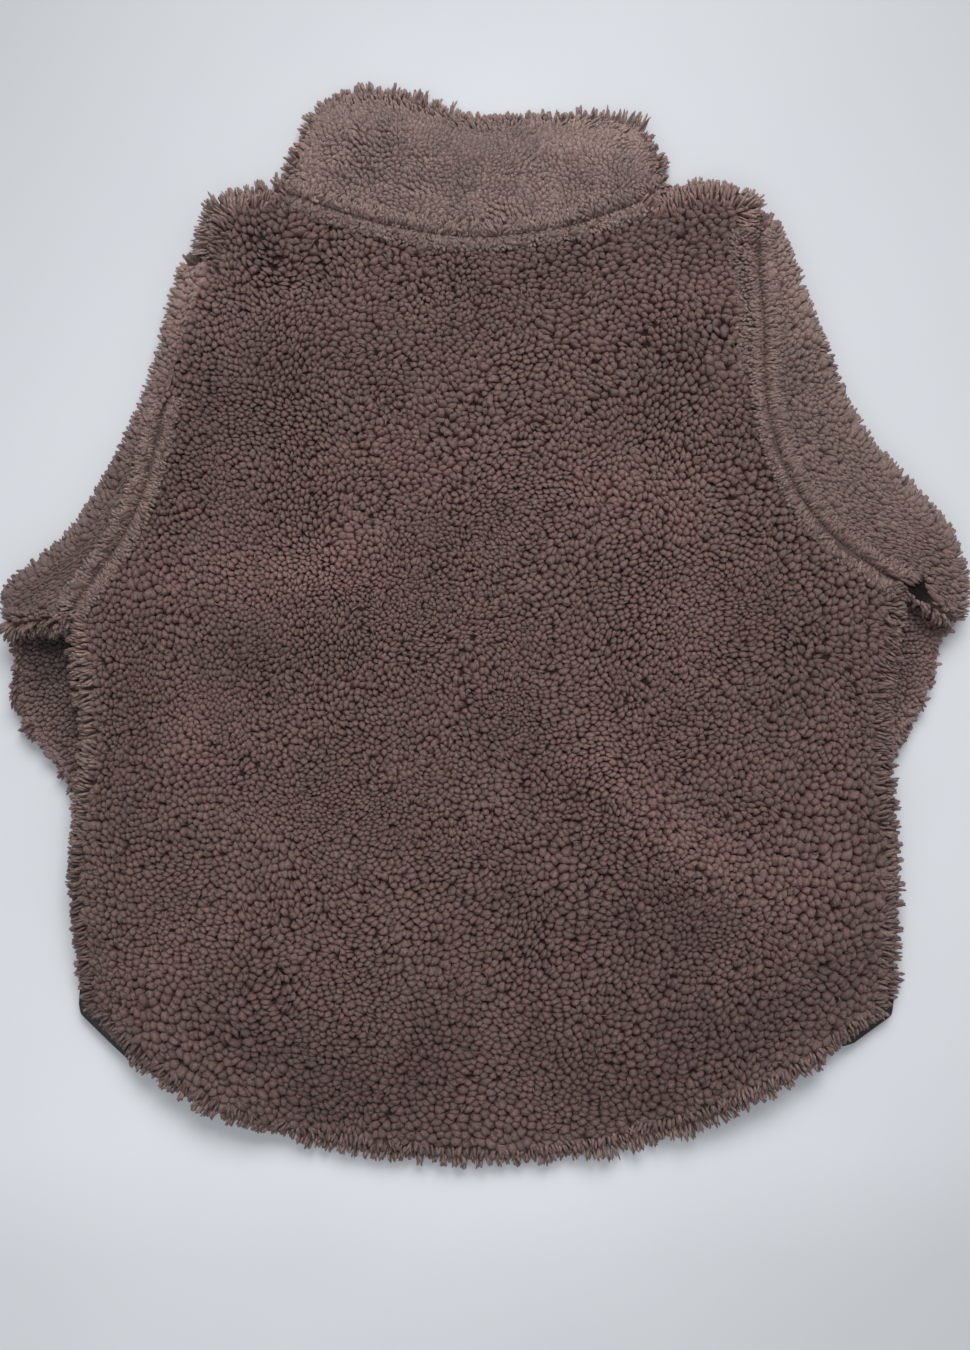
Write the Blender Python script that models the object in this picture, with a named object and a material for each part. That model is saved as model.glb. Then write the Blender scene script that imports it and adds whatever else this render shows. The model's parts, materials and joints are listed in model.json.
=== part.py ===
"""A high-pile fleece jacket laid flat, face down, with both sleeves folded under the body.

Metres, +Z up. The jacket lies on z = 0 with its back up and its collar towards +Y. The origin is
the middle of the footprint. Left and right are the wearer's: left is -X.

Every layer of cloth is a closed wall. From the table up, over a sleeve, they are: the folded-under
part of the sleeve (two walls), a front, the back. Between the sleeves the fronts lie on the table.
"""

import math

import bpy
import numpy as np

# ---------------------------------------------------------------- driving sizes, in millimetres
CLOTH = 6.0  # one layer of pile cloth as it lies: knit back and pile together
SLIT = 0.5  # between two layers that lie on each other
SEAM = 0.4  # between two pieces that are sewn together
SLEEVE_PAIR = 2 * CLOTH + SLIT  # a sleeve tube pressed flat
UNDER_BODY = SLEEVE_PAIR + SLIT  # height of a front's underside where a sleeve lies below it
FOLD_R = (SLEEVE_PAIR + SLIT) / 2  # middle of the tube round the fold
FOLD_OUT = FOLD_R + SLEEVE_PAIR / 2  # outside of the tube round the fold
DRAPE_START = 26.0  # the body stays up this far past a sleeve's edge
DRAPE_FALL = 56.0  # and comes down to the table over this distance
EDGE_ROLL = 6.0  # how far in from its edge a layer reaches its full thickness
EDGE_LEAST = 1.4  # what is left of its thickness at the very edge
COLLAR_SAG_START = 0.55  # share of the collar's height where its back half starts to sag
ZIP_HALF = 4.2  # half the space between the fronts at the hem
ZIP_THICK = 3.4
BINDING_WIDE = 6.0
BINDING_THICK = 3.0
BINDING_EDGE = 1.6

# The body's two sides, from the hem corner up to the shoulder point.
BODY_SIDES = [
    # place, left x, left y, right x, right y
    ("hem corner", -272, -264, 275, -265),
    ("vent", -277, -225, 279, -225),
    ("hip", -283, -174, 280, -174),
    ("waist", -279, -119, 276, -119),
    ("under the arm", -272, -75, 274, -75),
    ("armpit", -280, 3, 286, 19),
    ("armhole bottom", -266, 30, 269, 34),
    ("armhole low", -249, 54, 241, 56),
    ("armhole middle", -233, 86, 215, 87),
    ("shoulder blade", -222, 125, 198, 125),
    ("armhole chest", -213, 163, 191, 163),
    ("armhole upper", -201, 204, 190, 207),
    ("armhole cap", -188, 241, 186, 251),
    ("shoulder point", -187, 281, 186, 288),
]
ARMPIT, SHOULDER = 5, 13  # rows of BODY_SIDES

# The curved shirt-tail hem, left to right.
HEM = [
    # place, x, y
    ("corner left", -272, -264),
    ("vent left", -249, -285),
    ("tail start left", -220, -308),
    ("tail left", -173, -333),
    ("tail quarter left", -118, -351),
    ("tail low left", -57, -362),
    ("tail middle", 4, -365),
    ("tail low right", 65, -360),
    ("tail quarter right", 126, -344),
    ("tail right", 181, -322),
    ("tail start right", 223, -299),
    ("vent right", 253, -280),
    ("corner right", 275, -265),
]

# Shoulders and back neck seam, left to right.
TOP = [
    # place, x, y
    ("shoulder point left", -187, 281),
    ("shoulder left", -171, 294),
    ("neck left", -144, 297),
    ("neck side left", -105, 284),
    ("neck low left", -57, 268),
    ("neck middle", -3, 261),
    ("neck low right", 52, 268),
    ("neck side right", 92, 282),
    ("neck right", 123, 296),
    ("shoulder right", 152, 301),
    ("shoulder point right", 186, 288),
]
FRONT_NECK_DROP = 40.0  # the front neckline lies this much lower in the middle

# Outer edge of each sleeve's fold, from the top of the armhole to the underarm.
FOLD_EDGE = [
    # place, left x, left y, right x, right y
    ("cap", -206, 247, 198, 270),
    ("cap end", -214, 219, 208, 251),
    ("upper", -222, 186, 220, 228),
    ("upper middle", -232, 155, 233, 190),
    ("middle", -248, 120, 245, 158),
    ("lower middle", -265, 89, 264, 126),
    ("lower", -283, 63, 290, 92),
    ("corner start", -302, 43, 314, 55),
    ("corner turn", -318, 30, 325, 30),
    ("corner", -326, 17, 327, 14),
    ("underarm fold", -326, 1, 324, 2),
]

# The part of each sleeve that is folded under, as sections across the flat tube.
SLEEVE_SECTIONS = {
    "left": [
        # place, overarm x, overarm y, underarm x, underarm y
        ("upper arm", -186, 150, -309, -52),
        ("above the elbow", -168, 48, -291, -95),
        ("elbow", -152, -42, -262, -145),
        ("forearm", -124, -145, -222, -206),
        ("wrist", -100, -204, -196, -256),
        ("cuff", -80, -256, -178, -296),
    ],
    "right": [
        # place, overarm x, overarm y, underarm x, underarm y
        ("upper arm", 178, 150, 311, -36),
        ("above the elbow", 162, 48, 284, -85),
        ("elbow", 145, -42, 259, -132),
        ("forearm", 120, -140, 222, -200),
        ("wrist", 98, -198, 196, -248),
        ("cuff", 80, -248, 178, -286),
    ],
}

# The collar's back half: its two side folds from seam to top, and its top edge.
COLLAR_SIDES = [
    # place, left x, left y, right x, right y
    ("seam", -145, 297, 124, 295),
    ("low", -137, 308, 125, 308),
    ("middle", -127, 331, 120, 322),
    ("top corner", -117, 349, 112, 333),
]
COLLAR_TOP = [
    # place, share across, y at the back, y at the front
    ("corner left", 0.00, 349, 349),
    ("lobe left", 0.08, 362, 334),
    ("lobe crown", 0.18, 366, 318),
    ("lobe end", 0.30, 360, 304),
    ("dip", 0.47, 349, 294),
    ("level", 0.62, 350, 296),
    ("lobe right", 0.80, 350, 306),
    ("round right", 0.92, 344, 320),
    ("corner right", 1.00, 333, 333),
]

# The largest soft folds of the back, where it stands a little off what is below.
SOFT_FOLDS = [
    # place, x, y, turn in degrees, half length, half width, height
    ("below the right blade", 82, 52, 8, 80, 42, 2.6),
    ("left ribs", -132, 8, 8, 85, 36, 2.4),
    ("right hip", 118, -158, -34, 115, 40, 3.6),
    ("left hip", -170, -190, 20, 70, 38, 2.6),
]

ROWS_BELOW_ARM = 2  # grid rows from one row of BODY_SIDES to the next, and one above the armpit
COLUMNS = 20  # grid columns across the body, without its edges
COLLAR_ROWS = 5
TURN_STEPS = 6  # round a sleeve's fold
SECTION_STEPS = 2  # rings from one sleeve section to the next
ROUND_STEPS = 3  # round a tube's side


# ---------------------------------------------------------------- curves and heights
def column(table, k):
    return np.array([row[k] for row in table], float)


def through(xs, ys, x):
    """A smooth curve through the points that never swings past them."""
    xs, ys = np.asarray(xs, float), np.asarray(ys, float)
    x = np.clip(np.asarray(x, float), xs[0], xs[-1])
    step = np.diff(xs)
    slope = np.diff(ys) / step
    tangent = np.zeros_like(ys)
    for i in range(1, len(xs) - 1):
        if slope[i - 1] * slope[i] > 0:
            a, b = 2 * step[i] + step[i - 1], step[i] + 2 * step[i - 1]
            tangent[i] = (a + b) / (a / slope[i - 1] + b / slope[i])
    tangent[0], tangent[-1] = slope[0], slope[-1]
    k = np.clip(np.searchsorted(xs, x, side="right") - 1, 0, len(xs) - 2)
    t = (x - xs[k]) / step[k]
    return (
        ys[k] * (1 + 2 * t) * (1 - t) ** 2
        + tangent[k] * step[k] * t * (1 - t) ** 2
        + ys[k + 1] * t * t * (3 - 2 * t)
        + tangent[k + 1] * step[k] * t * t * (t - 1)
    )


def ease(t):
    t = np.clip(t, 0.0, 1.0)
    return t * t * (3 - 2 * t)


def body_side(place, side):
    """A point on the body's side, where place counts rows of BODY_SIDES."""
    k = 1 if side == "left" else 3
    rows = np.arange(len(BODY_SIDES))
    return np.stack(
        [
            through(rows, column(BODY_SIDES, k), place),
            through(rows, column(BODY_SIDES, k + 1), place),
        ],
        -1,
    )


def edge_across(table, share):
    """A point on the hem or the top edge, share of the way from left to right."""
    x = column(table, 1)
    at = x[0] + (x[-1] - x[0]) * share
    return np.stack([at, through(x, column(table, 2), at)], -1)


def body_point(across, up):
    """The flat plan of the body: across and up run from 0 to 1."""
    across, up = np.broadcast_arrays(np.asarray(across, float), np.asarray(up, float))
    place = up * (len(BODY_SIDES) - 1)
    left, right = body_side(place, "left"), body_side(place, "right")
    low, high = edge_across(HEM, across), edge_across(TOP, across)
    a, u = across[..., None], up[..., None]
    c00, c10 = edge_across(HEM, 0.0), edge_across(HEM, 1.0)
    c01, c11 = edge_across(TOP, 0.0), edge_across(TOP, 1.0)
    corners = (1 - u) * ((1 - a) * c00 + a * c10) + u * ((1 - a) * c01 + a * c11)
    return (1 - u) * low + u * high + (1 - a) * left + a * right - corners


def front_point(across, up):
    """The fronts follow the body's plan, with a lower neckline in the middle."""
    p = body_point(across, up)
    neck = np.clip(1 - ((np.asarray(across) - 0.5) / 0.36) ** 2, 0, 1) ** 1.5
    lower = FRONT_NECK_DROP * neck * ease((np.asarray(up) - 0.80) / 0.20)
    p = p.copy()
    p[..., 1] -= lower
    return p


def evenly(points, count):
    """The same line with count points evenly spaced along it."""
    points = np.asarray(points, float)
    run = np.r_[0, np.cumsum(np.linalg.norm(np.diff(points, axis=0), axis=1))]
    at = np.linspace(0, run[-1], count)
    return np.stack([np.interp(at, run, points[:, i]) for i in range(2)], -1)


def normals(line, outward):
    """Unit normals of a flat line, on the side where outward points."""
    t = np.gradient(line, axis=0)
    n = np.stack([t[:, 1], -t[:, 0]], -1)
    n /= np.linalg.norm(n, axis=1)[:, None]
    return n * np.sign((n * outward).sum(1))[:, None]


def fold_line(side, across):
    """The axis of a sleeve's fold and its outward normals; across runs from armhole top to underarm."""
    k = 1 if side == "left" else 3
    rows = np.arange(len(FOLD_EDGE))
    fine = np.linspace(0, len(rows) - 1, 121)
    edge = np.stack(
        [
            through(rows, column(FOLD_EDGE, k), fine),
            through(rows, column(FOLD_EDGE, k + 1), fine),
        ],
        -1,
    )
    edge = evenly(edge, 121)
    way = np.array([-1.0, 0.35]) if side == "left" else np.array([1.0, 0.35])
    n = normals(edge, way)
    for _ in range(60):  # evens the turn at the underarm corner
        n[1:-1] = (n[:-2] + 2 * n[1:-1] + n[2:]) / 4
        n /= np.linalg.norm(n, axis=1)[:, None]
    at = np.linspace(0, 1, 121)
    edge = np.stack([np.interp(across, at, edge[:, i]) for i in range(2)], -1)
    n = np.stack([np.interp(across, at, n[:, i]) for i in range(2)], -1)
    n /= np.linalg.norm(n, axis=1)[:, None]
    return edge - n * FOLD_OUT, n


def armhole_line(side):
    """The armhole seam from the top of the sleeve to the armpit, through the body's own rows,
    and how far along it each point lies."""
    top = 12.1 if side == "left" else 12.4
    places = np.r_[top, np.arange(math.ceil(top) - 1, ARMPIT, -1), ARMPIT + 0.02]
    whole = np.arange(len(BODY_SIDES))
    corners = body_side(whole.astype(float), side)
    line = np.stack([np.interp(places, whole, corners[:, i]) for i in range(2)], -1)
    run = np.r_[0, np.cumsum(np.linalg.norm(np.diff(line, axis=0), axis=1))]
    return line, run / run[-1]


def sleeve_plan(side, across):
    """Rings of the folded-under sleeve in plan: lines from overarm to underarm."""
    axis, _ = fold_line(side, across)
    table = SLEEVE_SECTIONS[side]
    inset = SLEEVE_PAIR / 2
    over = np.stack([column(table, 1), column(table, 2)], -1)
    under = np.stack([column(table, 3), column(table, 4)], -1)
    along = (under - over) / np.linalg.norm(under - over, axis=1)[:, None]
    over = np.vstack([axis[0], over + along * inset])
    under = np.vstack([axis[-1], under - along * inset])
    rows = np.arange(len(table) + 1)
    share = np.asarray(across)[:, None]
    bow = axis - (axis[0] + (axis[-1] - axis[0]) * share)
    rings = []
    for s in np.arange(1, len(table) * SECTION_STEPS + 1) / SECTION_STEPS:
        a = np.array([through(rows, over[:, i], s) for i in range(2)])
        b = np.array([through(rows, under[:, i], s) for i in range(2)])
        rings.append(a + (b - a) * share + bow * max(0.0, 1 - s / 2.0) ** 2)
    return rings


def sleeve_outline(side):
    """The plan outline of everything that the sleeve lays under the body."""
    across = np.linspace(0, 1, 25)
    axis, n = fold_line(side, across)
    rings = sleeve_plan(side, across)
    inset = SLEEVE_PAIR / 2
    over, under = [], []
    for ring in rings:
        d = (ring[-1] - ring[0]) / np.linalg.norm(ring[-1] - ring[0])
        over.append(ring[0] - d * inset)
        under.append(ring[-1] + d * inset)
    return np.vstack([axis + n * FOLD_OUT, under, over[::-1]])


def distance_outside(points, outline):
    """How far each point lies outside a closed outline, and 0 inside it."""
    a, b = outline, np.roll(outline, -1, axis=0)
    p = points.reshape(-1, 1, 2)
    ab = (b - a)[None]
    t = np.clip(((p - a) * ab).sum(-1) / (ab**2).sum(-1), 0, 1)
    near = np.linalg.norm(p - (a + ab * t[..., None]), axis=-1).min(1)
    crosses = (a[:, 1] > p[..., 1]) != (b[:, 1] > p[..., 1])
    rise = np.where(b[:, 1] == a[:, 1], 1e-9, b[:, 1] - a[:, 1])
    at = a[:, 0] + (p[..., 1] - a[:, 1]) * (b[:, 0] - a[:, 0]) / rise
    inside = (crosses & (p[..., 0] < at)).sum(1) % 2 == 1
    return np.where(inside, 0.0, near).reshape(points.shape[:-1])


OUTLINES = [sleeve_outline("left"), sleeve_outline("right")]


def underside(points):
    """Height of the fronts' underside over the table."""
    away = np.minimum(*(distance_outside(points, o) for o in OUTLINES))
    high = UNDER_BODY * (1 - ease((away - DRAPE_START) / DRAPE_FALL))
    for _, x, y, turn, half_long, half_wide, height in SOFT_FOLDS:
        c, s = math.cos(math.radians(turn)), math.sin(math.radians(turn))
        dx, dy = points[..., 0] - x, points[..., 1] - y
        along, off = (dx * c + dy * s) / half_long, (dy * c - dx * s) / half_wide
        near = np.clip(1 - along**2, 0, 1) ** 2 * np.clip(1 - off**2, 0, 1) ** 2
        high = high + height * near
    return high


# ---------------------------------------------------------------- solids
def add_object(name, verts, faces, colour, roughness):
    corners = np.asarray(verts, float)[np.array(faces)]
    volume = np.einsum("ij,ij->i", corners[:, 0], np.cross(corners[:, 1], corners[:, 2])).sum()
    if volume < 0:  # faces point out of the cloth
        faces = [face[::-1] for face in faces]
    mesh = bpy.data.meshes.new(name)
    mesh.from_pydata([tuple(v) for v in np.asarray(verts) * 0.001], [], faces)
    mesh.validate()
    mesh.update()
    material = bpy.data.materials.new(name)
    material.use_nodes = True
    shader = material.node_tree.nodes["Principled BSDF"]
    shader.inputs["Base Color"].default_value = (*colour, 1.0)
    shader.inputs["Roughness"].default_value = roughness
    shader.inputs["Metallic"].default_value = 0.0
    material.diffuse_color = (*colour, 1.0)
    mesh.materials.append(material)
    ob = bpy.data.objects.new(name, mesh)
    bpy.context.collection.objects.link(ob)
    mesh.shade_smooth()
    mesh.set_sharp_from_angle(angle=math.radians(40))
    return ob


def wall(low, high, first=0):
    """Vertices and triangles of a closed wall between two grids of points, low and high.

    first is the column where this grid starts in the one it shares its diagonals with."""
    rows, cols = low.shape[:2]
    verts = np.concatenate([low.reshape(-1, 3), high.reshape(-1, 3)])
    n = rows * cols

    def at(r, c, top):
        return r * cols + c + (n if top else 0)

    faces = []
    for r in range(rows - 1):
        for c in range(cols - 1):
            q = [(r, c), (r, c + 1), (r + 1, c + 1), (r + 1, c)]
            if (r + c + first) % 2:
                q = q[1:] + q[:1]
            t = [at(*p, True) for p in q]
            b = [at(*p, False) for p in q]
            faces += [(t[0], t[1], t[2]), (t[0], t[2], t[3])]
            faces += [(b[0], b[2], b[1]), (b[0], b[3], b[2])]
    rim = [(0, c) for c in range(cols - 1)]
    rim += [(r, cols - 1) for r in range(rows - 1)]
    rim += [(rows - 1, c) for c in range(cols - 1, 0, -1)]
    rim += [(r, 0) for r in range(rows - 1, 0, -1)]
    for p, q in zip(rim, rim[1:] + rim[:1], strict=True):
        a, b = at(*p, False), at(*q, False)
        c, d = at(*q, True), at(*p, True)
        faces += [(a, b, c), (a, c, d)]
    return verts, faces


def edge_thickness(away):
    """Thickness of a layer this far in from its rolled edge."""
    t = np.clip(away / EDGE_ROLL, 0, 1)
    return EDGE_LEAST + (CLOTH - EDGE_LEAST) * np.sqrt(np.clip(1 - (1 - t) ** 2, 0, 1))


def body_grid(columns, rows, point):
    """Plan points of a panel and how far each lies in from the panel's own edge."""
    across, up = np.meshgrid(columns, rows)
    plan = point(across, up)
    away = np.full(plan.shape[:2], np.inf)
    for edge in (plan[:, :1], plan[:, -1:], plan[:1], plan[-1:]):
        away = np.minimum(away, np.linalg.norm(plan - edge, axis=-1))
    return plan, away


def edged(start, end, steps, near, deep):
    """Even steps from start to end, with two more close to each end for the rolled edge."""
    middle = np.linspace(start, end, steps + 1)[1:-1]
    return np.r_[start, start + near, start + deep, middle, end - deep, end - near, end]


def body_rows():
    """The grid rows of back and fronts: they run through every row of BODY_SIDES."""
    places = np.r_[np.arange(ARMPIT * ROWS_BELOW_ARM) / ROWS_BELOW_ARM, ARMPIT : SHOULDER + 1]
    up = places / SHOULDER
    return np.r_[0.0, 0.0035, 0.011, up[1:-1], 1 - 0.011, 1 - 0.0035, 1.0]


def main():
    for ob in list(bpy.data.objects):
        bpy.data.objects.remove(ob, do_unlink=True)

    brown, brown_dark, brown_light = (0.10, 0.065, 0.055), (0.08, 0.05, 0.045), (0.17, 0.12, 0.10)
    made = []

    # The same rows and columns carry the back and the fronts, so that the layers stay parallel.
    half = ZIP_HALF / 547.0
    left = edged(0.0, 0.5 - half, COLUMNS // 2, 0.0035, 0.011)
    right = 1.0 - left[::-1]
    rows = body_rows()

    # back
    plan, away = body_grid(np.r_[left, right], rows, body_point)
    under = underside(plan) + CLOTH + SLIT
    low = np.dstack([plan, under])
    high = np.dstack([plan, under + edge_thickness(away)])
    made.append(add_object("back", *wall(low, high), brown, 0.95))

    # fronts: their pile side is down, so their rolled edges turn up to meet the back
    for name, columns, first in (("front_left", left, 0), ("front_right", right, len(left))):
        plan, away = body_grid(columns, rows, front_point)
        top = underside(plan) + CLOTH
        low = np.dstack([plan, top - edge_thickness(away)])
        high = np.dstack([plan, top])
        made.append(add_object(name, *wall(low, high, first), brown_dark, 0.95))

    # zip strip between the fronts, from hem to the collar's front edge
    made.append(front_zip(np.r_[left, right], half))

    # sleeves
    for side in ("left", "right"):
        made.append(sleeve(side, brown_light))

    # collar
    made.append(collar(brown_light, np.r_[left, right]))

    # dark binding round the two lower corners
    for side in ("left", "right"):
        made.append(binding(side, (0.012, 0.009, 0.009)))

    # the origin goes to the middle of the footprint
    points = np.concatenate([[v.co[:] for v in ob.data.vertices] for ob in made])
    shift = -(points.min(0) + points.max(0)) / 2
    shift[2] = -points[:, 2].min()
    root = bpy.data.objects.new("sherpa_jacket", None)
    bpy.context.collection.objects.link(root)
    root.location = shift
    for ob in made:
        ob.parent = root


def sleeve(side, colour):
    """A tube pressed flat, folded under along the fold line, open at armhole and cuff."""
    seam, across = armhole_line(side)
    n = len(across)
    axis, out = fold_line(side, across)
    way = np.array([-1.0, 0.6]) if side == "left" else np.array([1.0, 0.6])
    seam = seam + normals(seam, way) * SEAM
    upper, lower = 1.5 * SLEEVE_PAIR + SLIT, SLEEVE_PAIR / 2
    middle = (upper + lower) / 2

    rings = []  # middle of the tube, its upward or outward normal, thickness share of the walls
    for s, share in ((0.0, 0.55), (0.35, 1.0)):
        p = seam + (axis - seam) * s
        c = np.column_stack([p, np.full(n, upper)])
        rings.append((c, np.tile([0, 0, 1.0], (n, 1)), share))
    for k in range(TURN_STEPS + 1):
        a = math.pi * k / TURN_STEPS
        p = axis + out * FOLD_R * math.sin(a)
        c = np.column_stack([p, np.full(n, middle + FOLD_R * math.cos(a))])
        nn = np.column_stack([out * math.sin(a), np.full(n, math.cos(a))])
        rings.append((c, nn, 1.0))
    for ring in sleeve_plan(side, across):
        c = np.column_stack([ring, np.full(n, lower)])
        rings.append((c, np.tile([0, 0, -1.0], (n, 1)), 1.0))
    last = rings[-1]
    roll = (last[0] - rings[-2][0]) / np.linalg.norm(last[0] - rings[-2][0], axis=1)[:, None]
    rings[-1] = (last[0], last[1], 1.0)
    rings.append((last[0] + roll * 4.0, last[1], 0.55))  # the cuff's edge is rolled

    outer, inner = [], []
    for c, nn, share in rings:
        r_out = SLIT / 2 + CLOTH * share
        r_in = SLIT / 2
        first = (c[0] - c[1]) / np.linalg.norm(c[0] - c[1])
        final = (c[-1] - c[-2]) / np.linalg.norm(c[-1] - c[-2])
        loop = list(c + nn * r_out)
        for k in range(1, ROUND_STEPS):
            a = math.pi * k / ROUND_STEPS
            loop.append(c[-1] + (final * math.sin(a) + nn[-1] * math.cos(a)) * r_out)
        loop += list((c - nn * r_out)[::-1])
        for k in range(1, ROUND_STEPS):
            a = math.pi * k / ROUND_STEPS
            loop.append(c[0] + (first * math.sin(a) - nn[0] * math.cos(a)) * r_out)
        outer.append(loop)
        inner.append(list(c + nn * r_in) + list((c - nn * r_in)[::-1]))
    outer, inner = np.array(outer), np.array(inner)
    m, q = outer.shape[1], inner.shape[1]
    verts = np.concatenate([outer.reshape(-1, 3), inner.reshape(-1, 3)])
    start = outer.shape[0] * m
    faces = []
    for r in range(len(rings) - 1):
        for k in range(m):
            a, b = r * m + k, r * m + (k + 1) % m
            faces += [(a, a + m, b + m), (a, b + m, b)]
        for k in range(q):
            a, b = start + r * q + k, start + r * q + (k + 1) % q
            faces += [(a, b + q, a + q), (a, b, b + q)]
    for r, flip in ((0, False), (len(rings) - 1, True)):
        o, i = r * m, start + r * q
        cap = []
        for k in range(n - 1):  # upper wall, then lower wall
            cap += [(o + k, o + k + 1, i + k + 1), (o + k, i + k + 1, i + k)]
            a, b = n + ROUND_STEPS - 1 + k, n + k
            cap += [(o + a, o + a + 1, i + b + 1), (o + a, i + b + 1, i + b)]
        for outer_at, inner_at in ((n - 1, n - 1), (2 * n + ROUND_STEPS - 2, 2 * n - 1)):
            turn = [(outer_at + k) % m for k in range(ROUND_STEPS + 1)]
            one, two = inner_at, (inner_at + 1) % q
            half = ROUND_STEPS // 2
            for k in range(ROUND_STEPS):
                tip = one if k <= half else two
                if k == half:
                    cap.append((o + turn[k], o + turn[k + 1], i + one))
                    cap.append((o + turn[k + 1], i + two, i + one))
                else:
                    cap.append((o + turn[k], o + turn[k + 1], i + tip))
        faces += [f[::-1] if flip else f for f in cap]
    return add_object(f"sleeve_{side}", verts, faces, colour, 0.95)


def collar_point(across, up, back, seam_lines):
    """Plan of one half of the collar, inside its side folds; up runs from seam to top edge."""
    across, up = np.broadcast_arrays(np.asarray(across, float), np.asarray(up, float))
    rows = np.array([0.0, 0.22, 0.62, 1.0])
    sides = [through(rows, column(COLLAR_SIDES, k), up) for k in (1, 2, 3, 4)]
    top = through(column(COLLAR_TOP, 1), column(COLLAR_TOP, 2 if back else 3), across)
    x0, x1 = COLLAR_SIDES[0][1], COLLAR_SIDES[0][3]
    line = seam_lines[0 if back else 1]
    seam = np.interp(x0 + (x1 - x0) * across, line[:, 0], line[:, 1])
    end0, end1 = np.interp([x0, x1], line[:, 0], line[:, 1])
    left_y = sides[1] + (1 - up) * (end0 - COLLAR_SIDES[0][2])
    right_y = sides[3] + (1 - up) * (end1 - COLLAR_SIDES[0][4])
    seam_line = end0 * (1 - across) + end1 * across
    top_line = COLLAR_TOP[0][2] * (1 - across) + COLLAR_TOP[-1][2] * across
    x = sides[0] * (1 - across) + sides[2] * across
    y = (1 - up) * (seam - seam_line) + up * (top - top_line)
    y = y + left_y * (1 - across) + right_y * across
    return np.stack([x, y], -1)


def collar_rows():
    return np.r_[0.0, 0.05, np.linspace(0, 1, COLLAR_ROWS + 1)[1:-1], 0.95, 1.0]


def collar(colour, columns):
    """One band from the front edge round the left fold, over the back and round to the front."""
    seam_lines = [body_point(columns, 1.0), front_point(columns, 1.0)]
    up = collar_rows()
    turn_r = (CLOTH + SLIT) / 2
    low_z, high_z = CLOTH / 2, CLOTH * 1.5 + SLIT
    x0, x1 = COLLAR_SIDES[0][1], COLLAR_SIDES[0][3]
    inset = (turn_r + CLOTH / 2) / (x1 - x0)
    # the collar's columns are the body's, so that the two edges of the neck seam run parallel
    shared = (seam_lines[0][:, 0] - x0) / (x1 - x0)
    shared = shared[(shared > 1.5 * inset) & (shared < 1 - 1.5 * inset)]
    over = np.r_[inset, shared, 1 - inset]
    # its ends meet over the centre front, where the body's two middle columns are
    middle_columns = len(columns) // 2
    ends = (seam_lines[0][middle_columns - 1 : middle_columns + 1, 0] - x0) / (x1 - x0)
    front_left = over[over < ends[0] + 1e-6]
    front_right = over[over > ends[1] - 1e-6]
    turn = np.linspace(0, math.pi, 5)[1:-1]
    stops = [("front", a, 0.0) for a in front_left[::-1]]
    stops += [("left", inset, a) for a in turn]
    stops += [("back", a, 0.0) for a in over]
    stops += [("right", 1 - inset, a) for a in turn]
    stops += [("front", a, 0.0) for a in front_right[::-1]]
    middle = np.zeros((len(up), len(stops), 3))
    outward = np.zeros_like(middle)
    for c, (kind, a, turned) in enumerate(stops):
        front_p = collar_point(a, up, False, seam_lines)
        back_p = collar_point(a, up, True, seam_lines)
        if kind == "front":
            p, z, nn = front_p, np.full(len(up), low_z), (0, 0, -1.0)
        elif kind == "back":
            side = abs(2 * a - 1)
            start = COLLAR_SAG_START + 0.25 * side**2
            sag = (CLOTH + SLIT) * (1 - side**3) * ease((up - start) / (1 - start))
            p, z, nn = back_p, high_z - sag, (0, 0, 1.0)
        else:
            sign = -1 if kind == "left" else 1
            turned = turned if kind == "left" else math.pi - turned
            s = (1 - math.cos(turned)) / 2
            p = front_p * (1 - s) + back_p * s
            p = p + np.array([sign * turn_r * math.sin(turned), 0])
            reach = p[0, 0] + sign * np.linspace(-1, 1, 5) * CLOTH / 2
            lift = np.interp(reach, seam_lines[0][:, 0], seam_lines[0][:, 1]).max() - p[0, 1]
            p[:, 1] += lift * (1 - up) ** 2
            z = np.full(len(up), (low_z + high_z) / 2 - turn_r * math.cos(turned))
            nn = (sign * math.sin(turned), 0, -math.cos(turned))
        middle[:, c, :2], middle[:, c, 2] = p, z + underside(p)
        outward[:, c] = nn
    middle[:, :, 1] += SEAM * (1 - up[:, None])
    share = np.where((up == 0.0) | (up == 1.0), 0.45, 1.0)[:, None, None]
    inner = middle - outward * CLOTH / 2
    outer = middle + outward * (CLOTH * share - CLOTH / 2)
    return add_object("collar", *wall(inner, outer), colour, 0.95)


def front_zip(columns, half):
    """A closed strip that fills the space between the fronts and between the collar's ends."""
    up = body_rows()[1:-1]
    shift = SEAM * 1.3 / 547.0
    shares = (0.5 - half + shift, 0.5, 0.5 + half - shift)
    strip = np.stack([front_point(np.full_like(up, s), up) for s in shares], 1)
    seam_lines = [body_point(columns, 1.0), front_point(columns, 1.0)]
    x0, x1 = COLLAR_SIDES[0][1], COLLAR_SIDES[0][3]
    ends = (front_point(np.array(shares), 1.0)[:, 0] - x0) / (x1 - x0)
    rise = collar_rows()[:-1]
    upper = np.stack([collar_point(np.full_like(rise, e), rise, False, seam_lines) for e in ends], 1)
    strip = np.concatenate([strip, upper])
    base = underside(strip) + (CLOTH - ZIP_THICK) / 2
    edge = np.array([0.5, 0.0, 0.5])[None, :] * 1.4
    low = np.dstack([strip, base + edge])
    high = np.dstack([strip, base + ZIP_THICK - edge])
    return add_object("front_zip", *wall(low, high), (0.03, 0.022, 0.02), 0.5)


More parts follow.
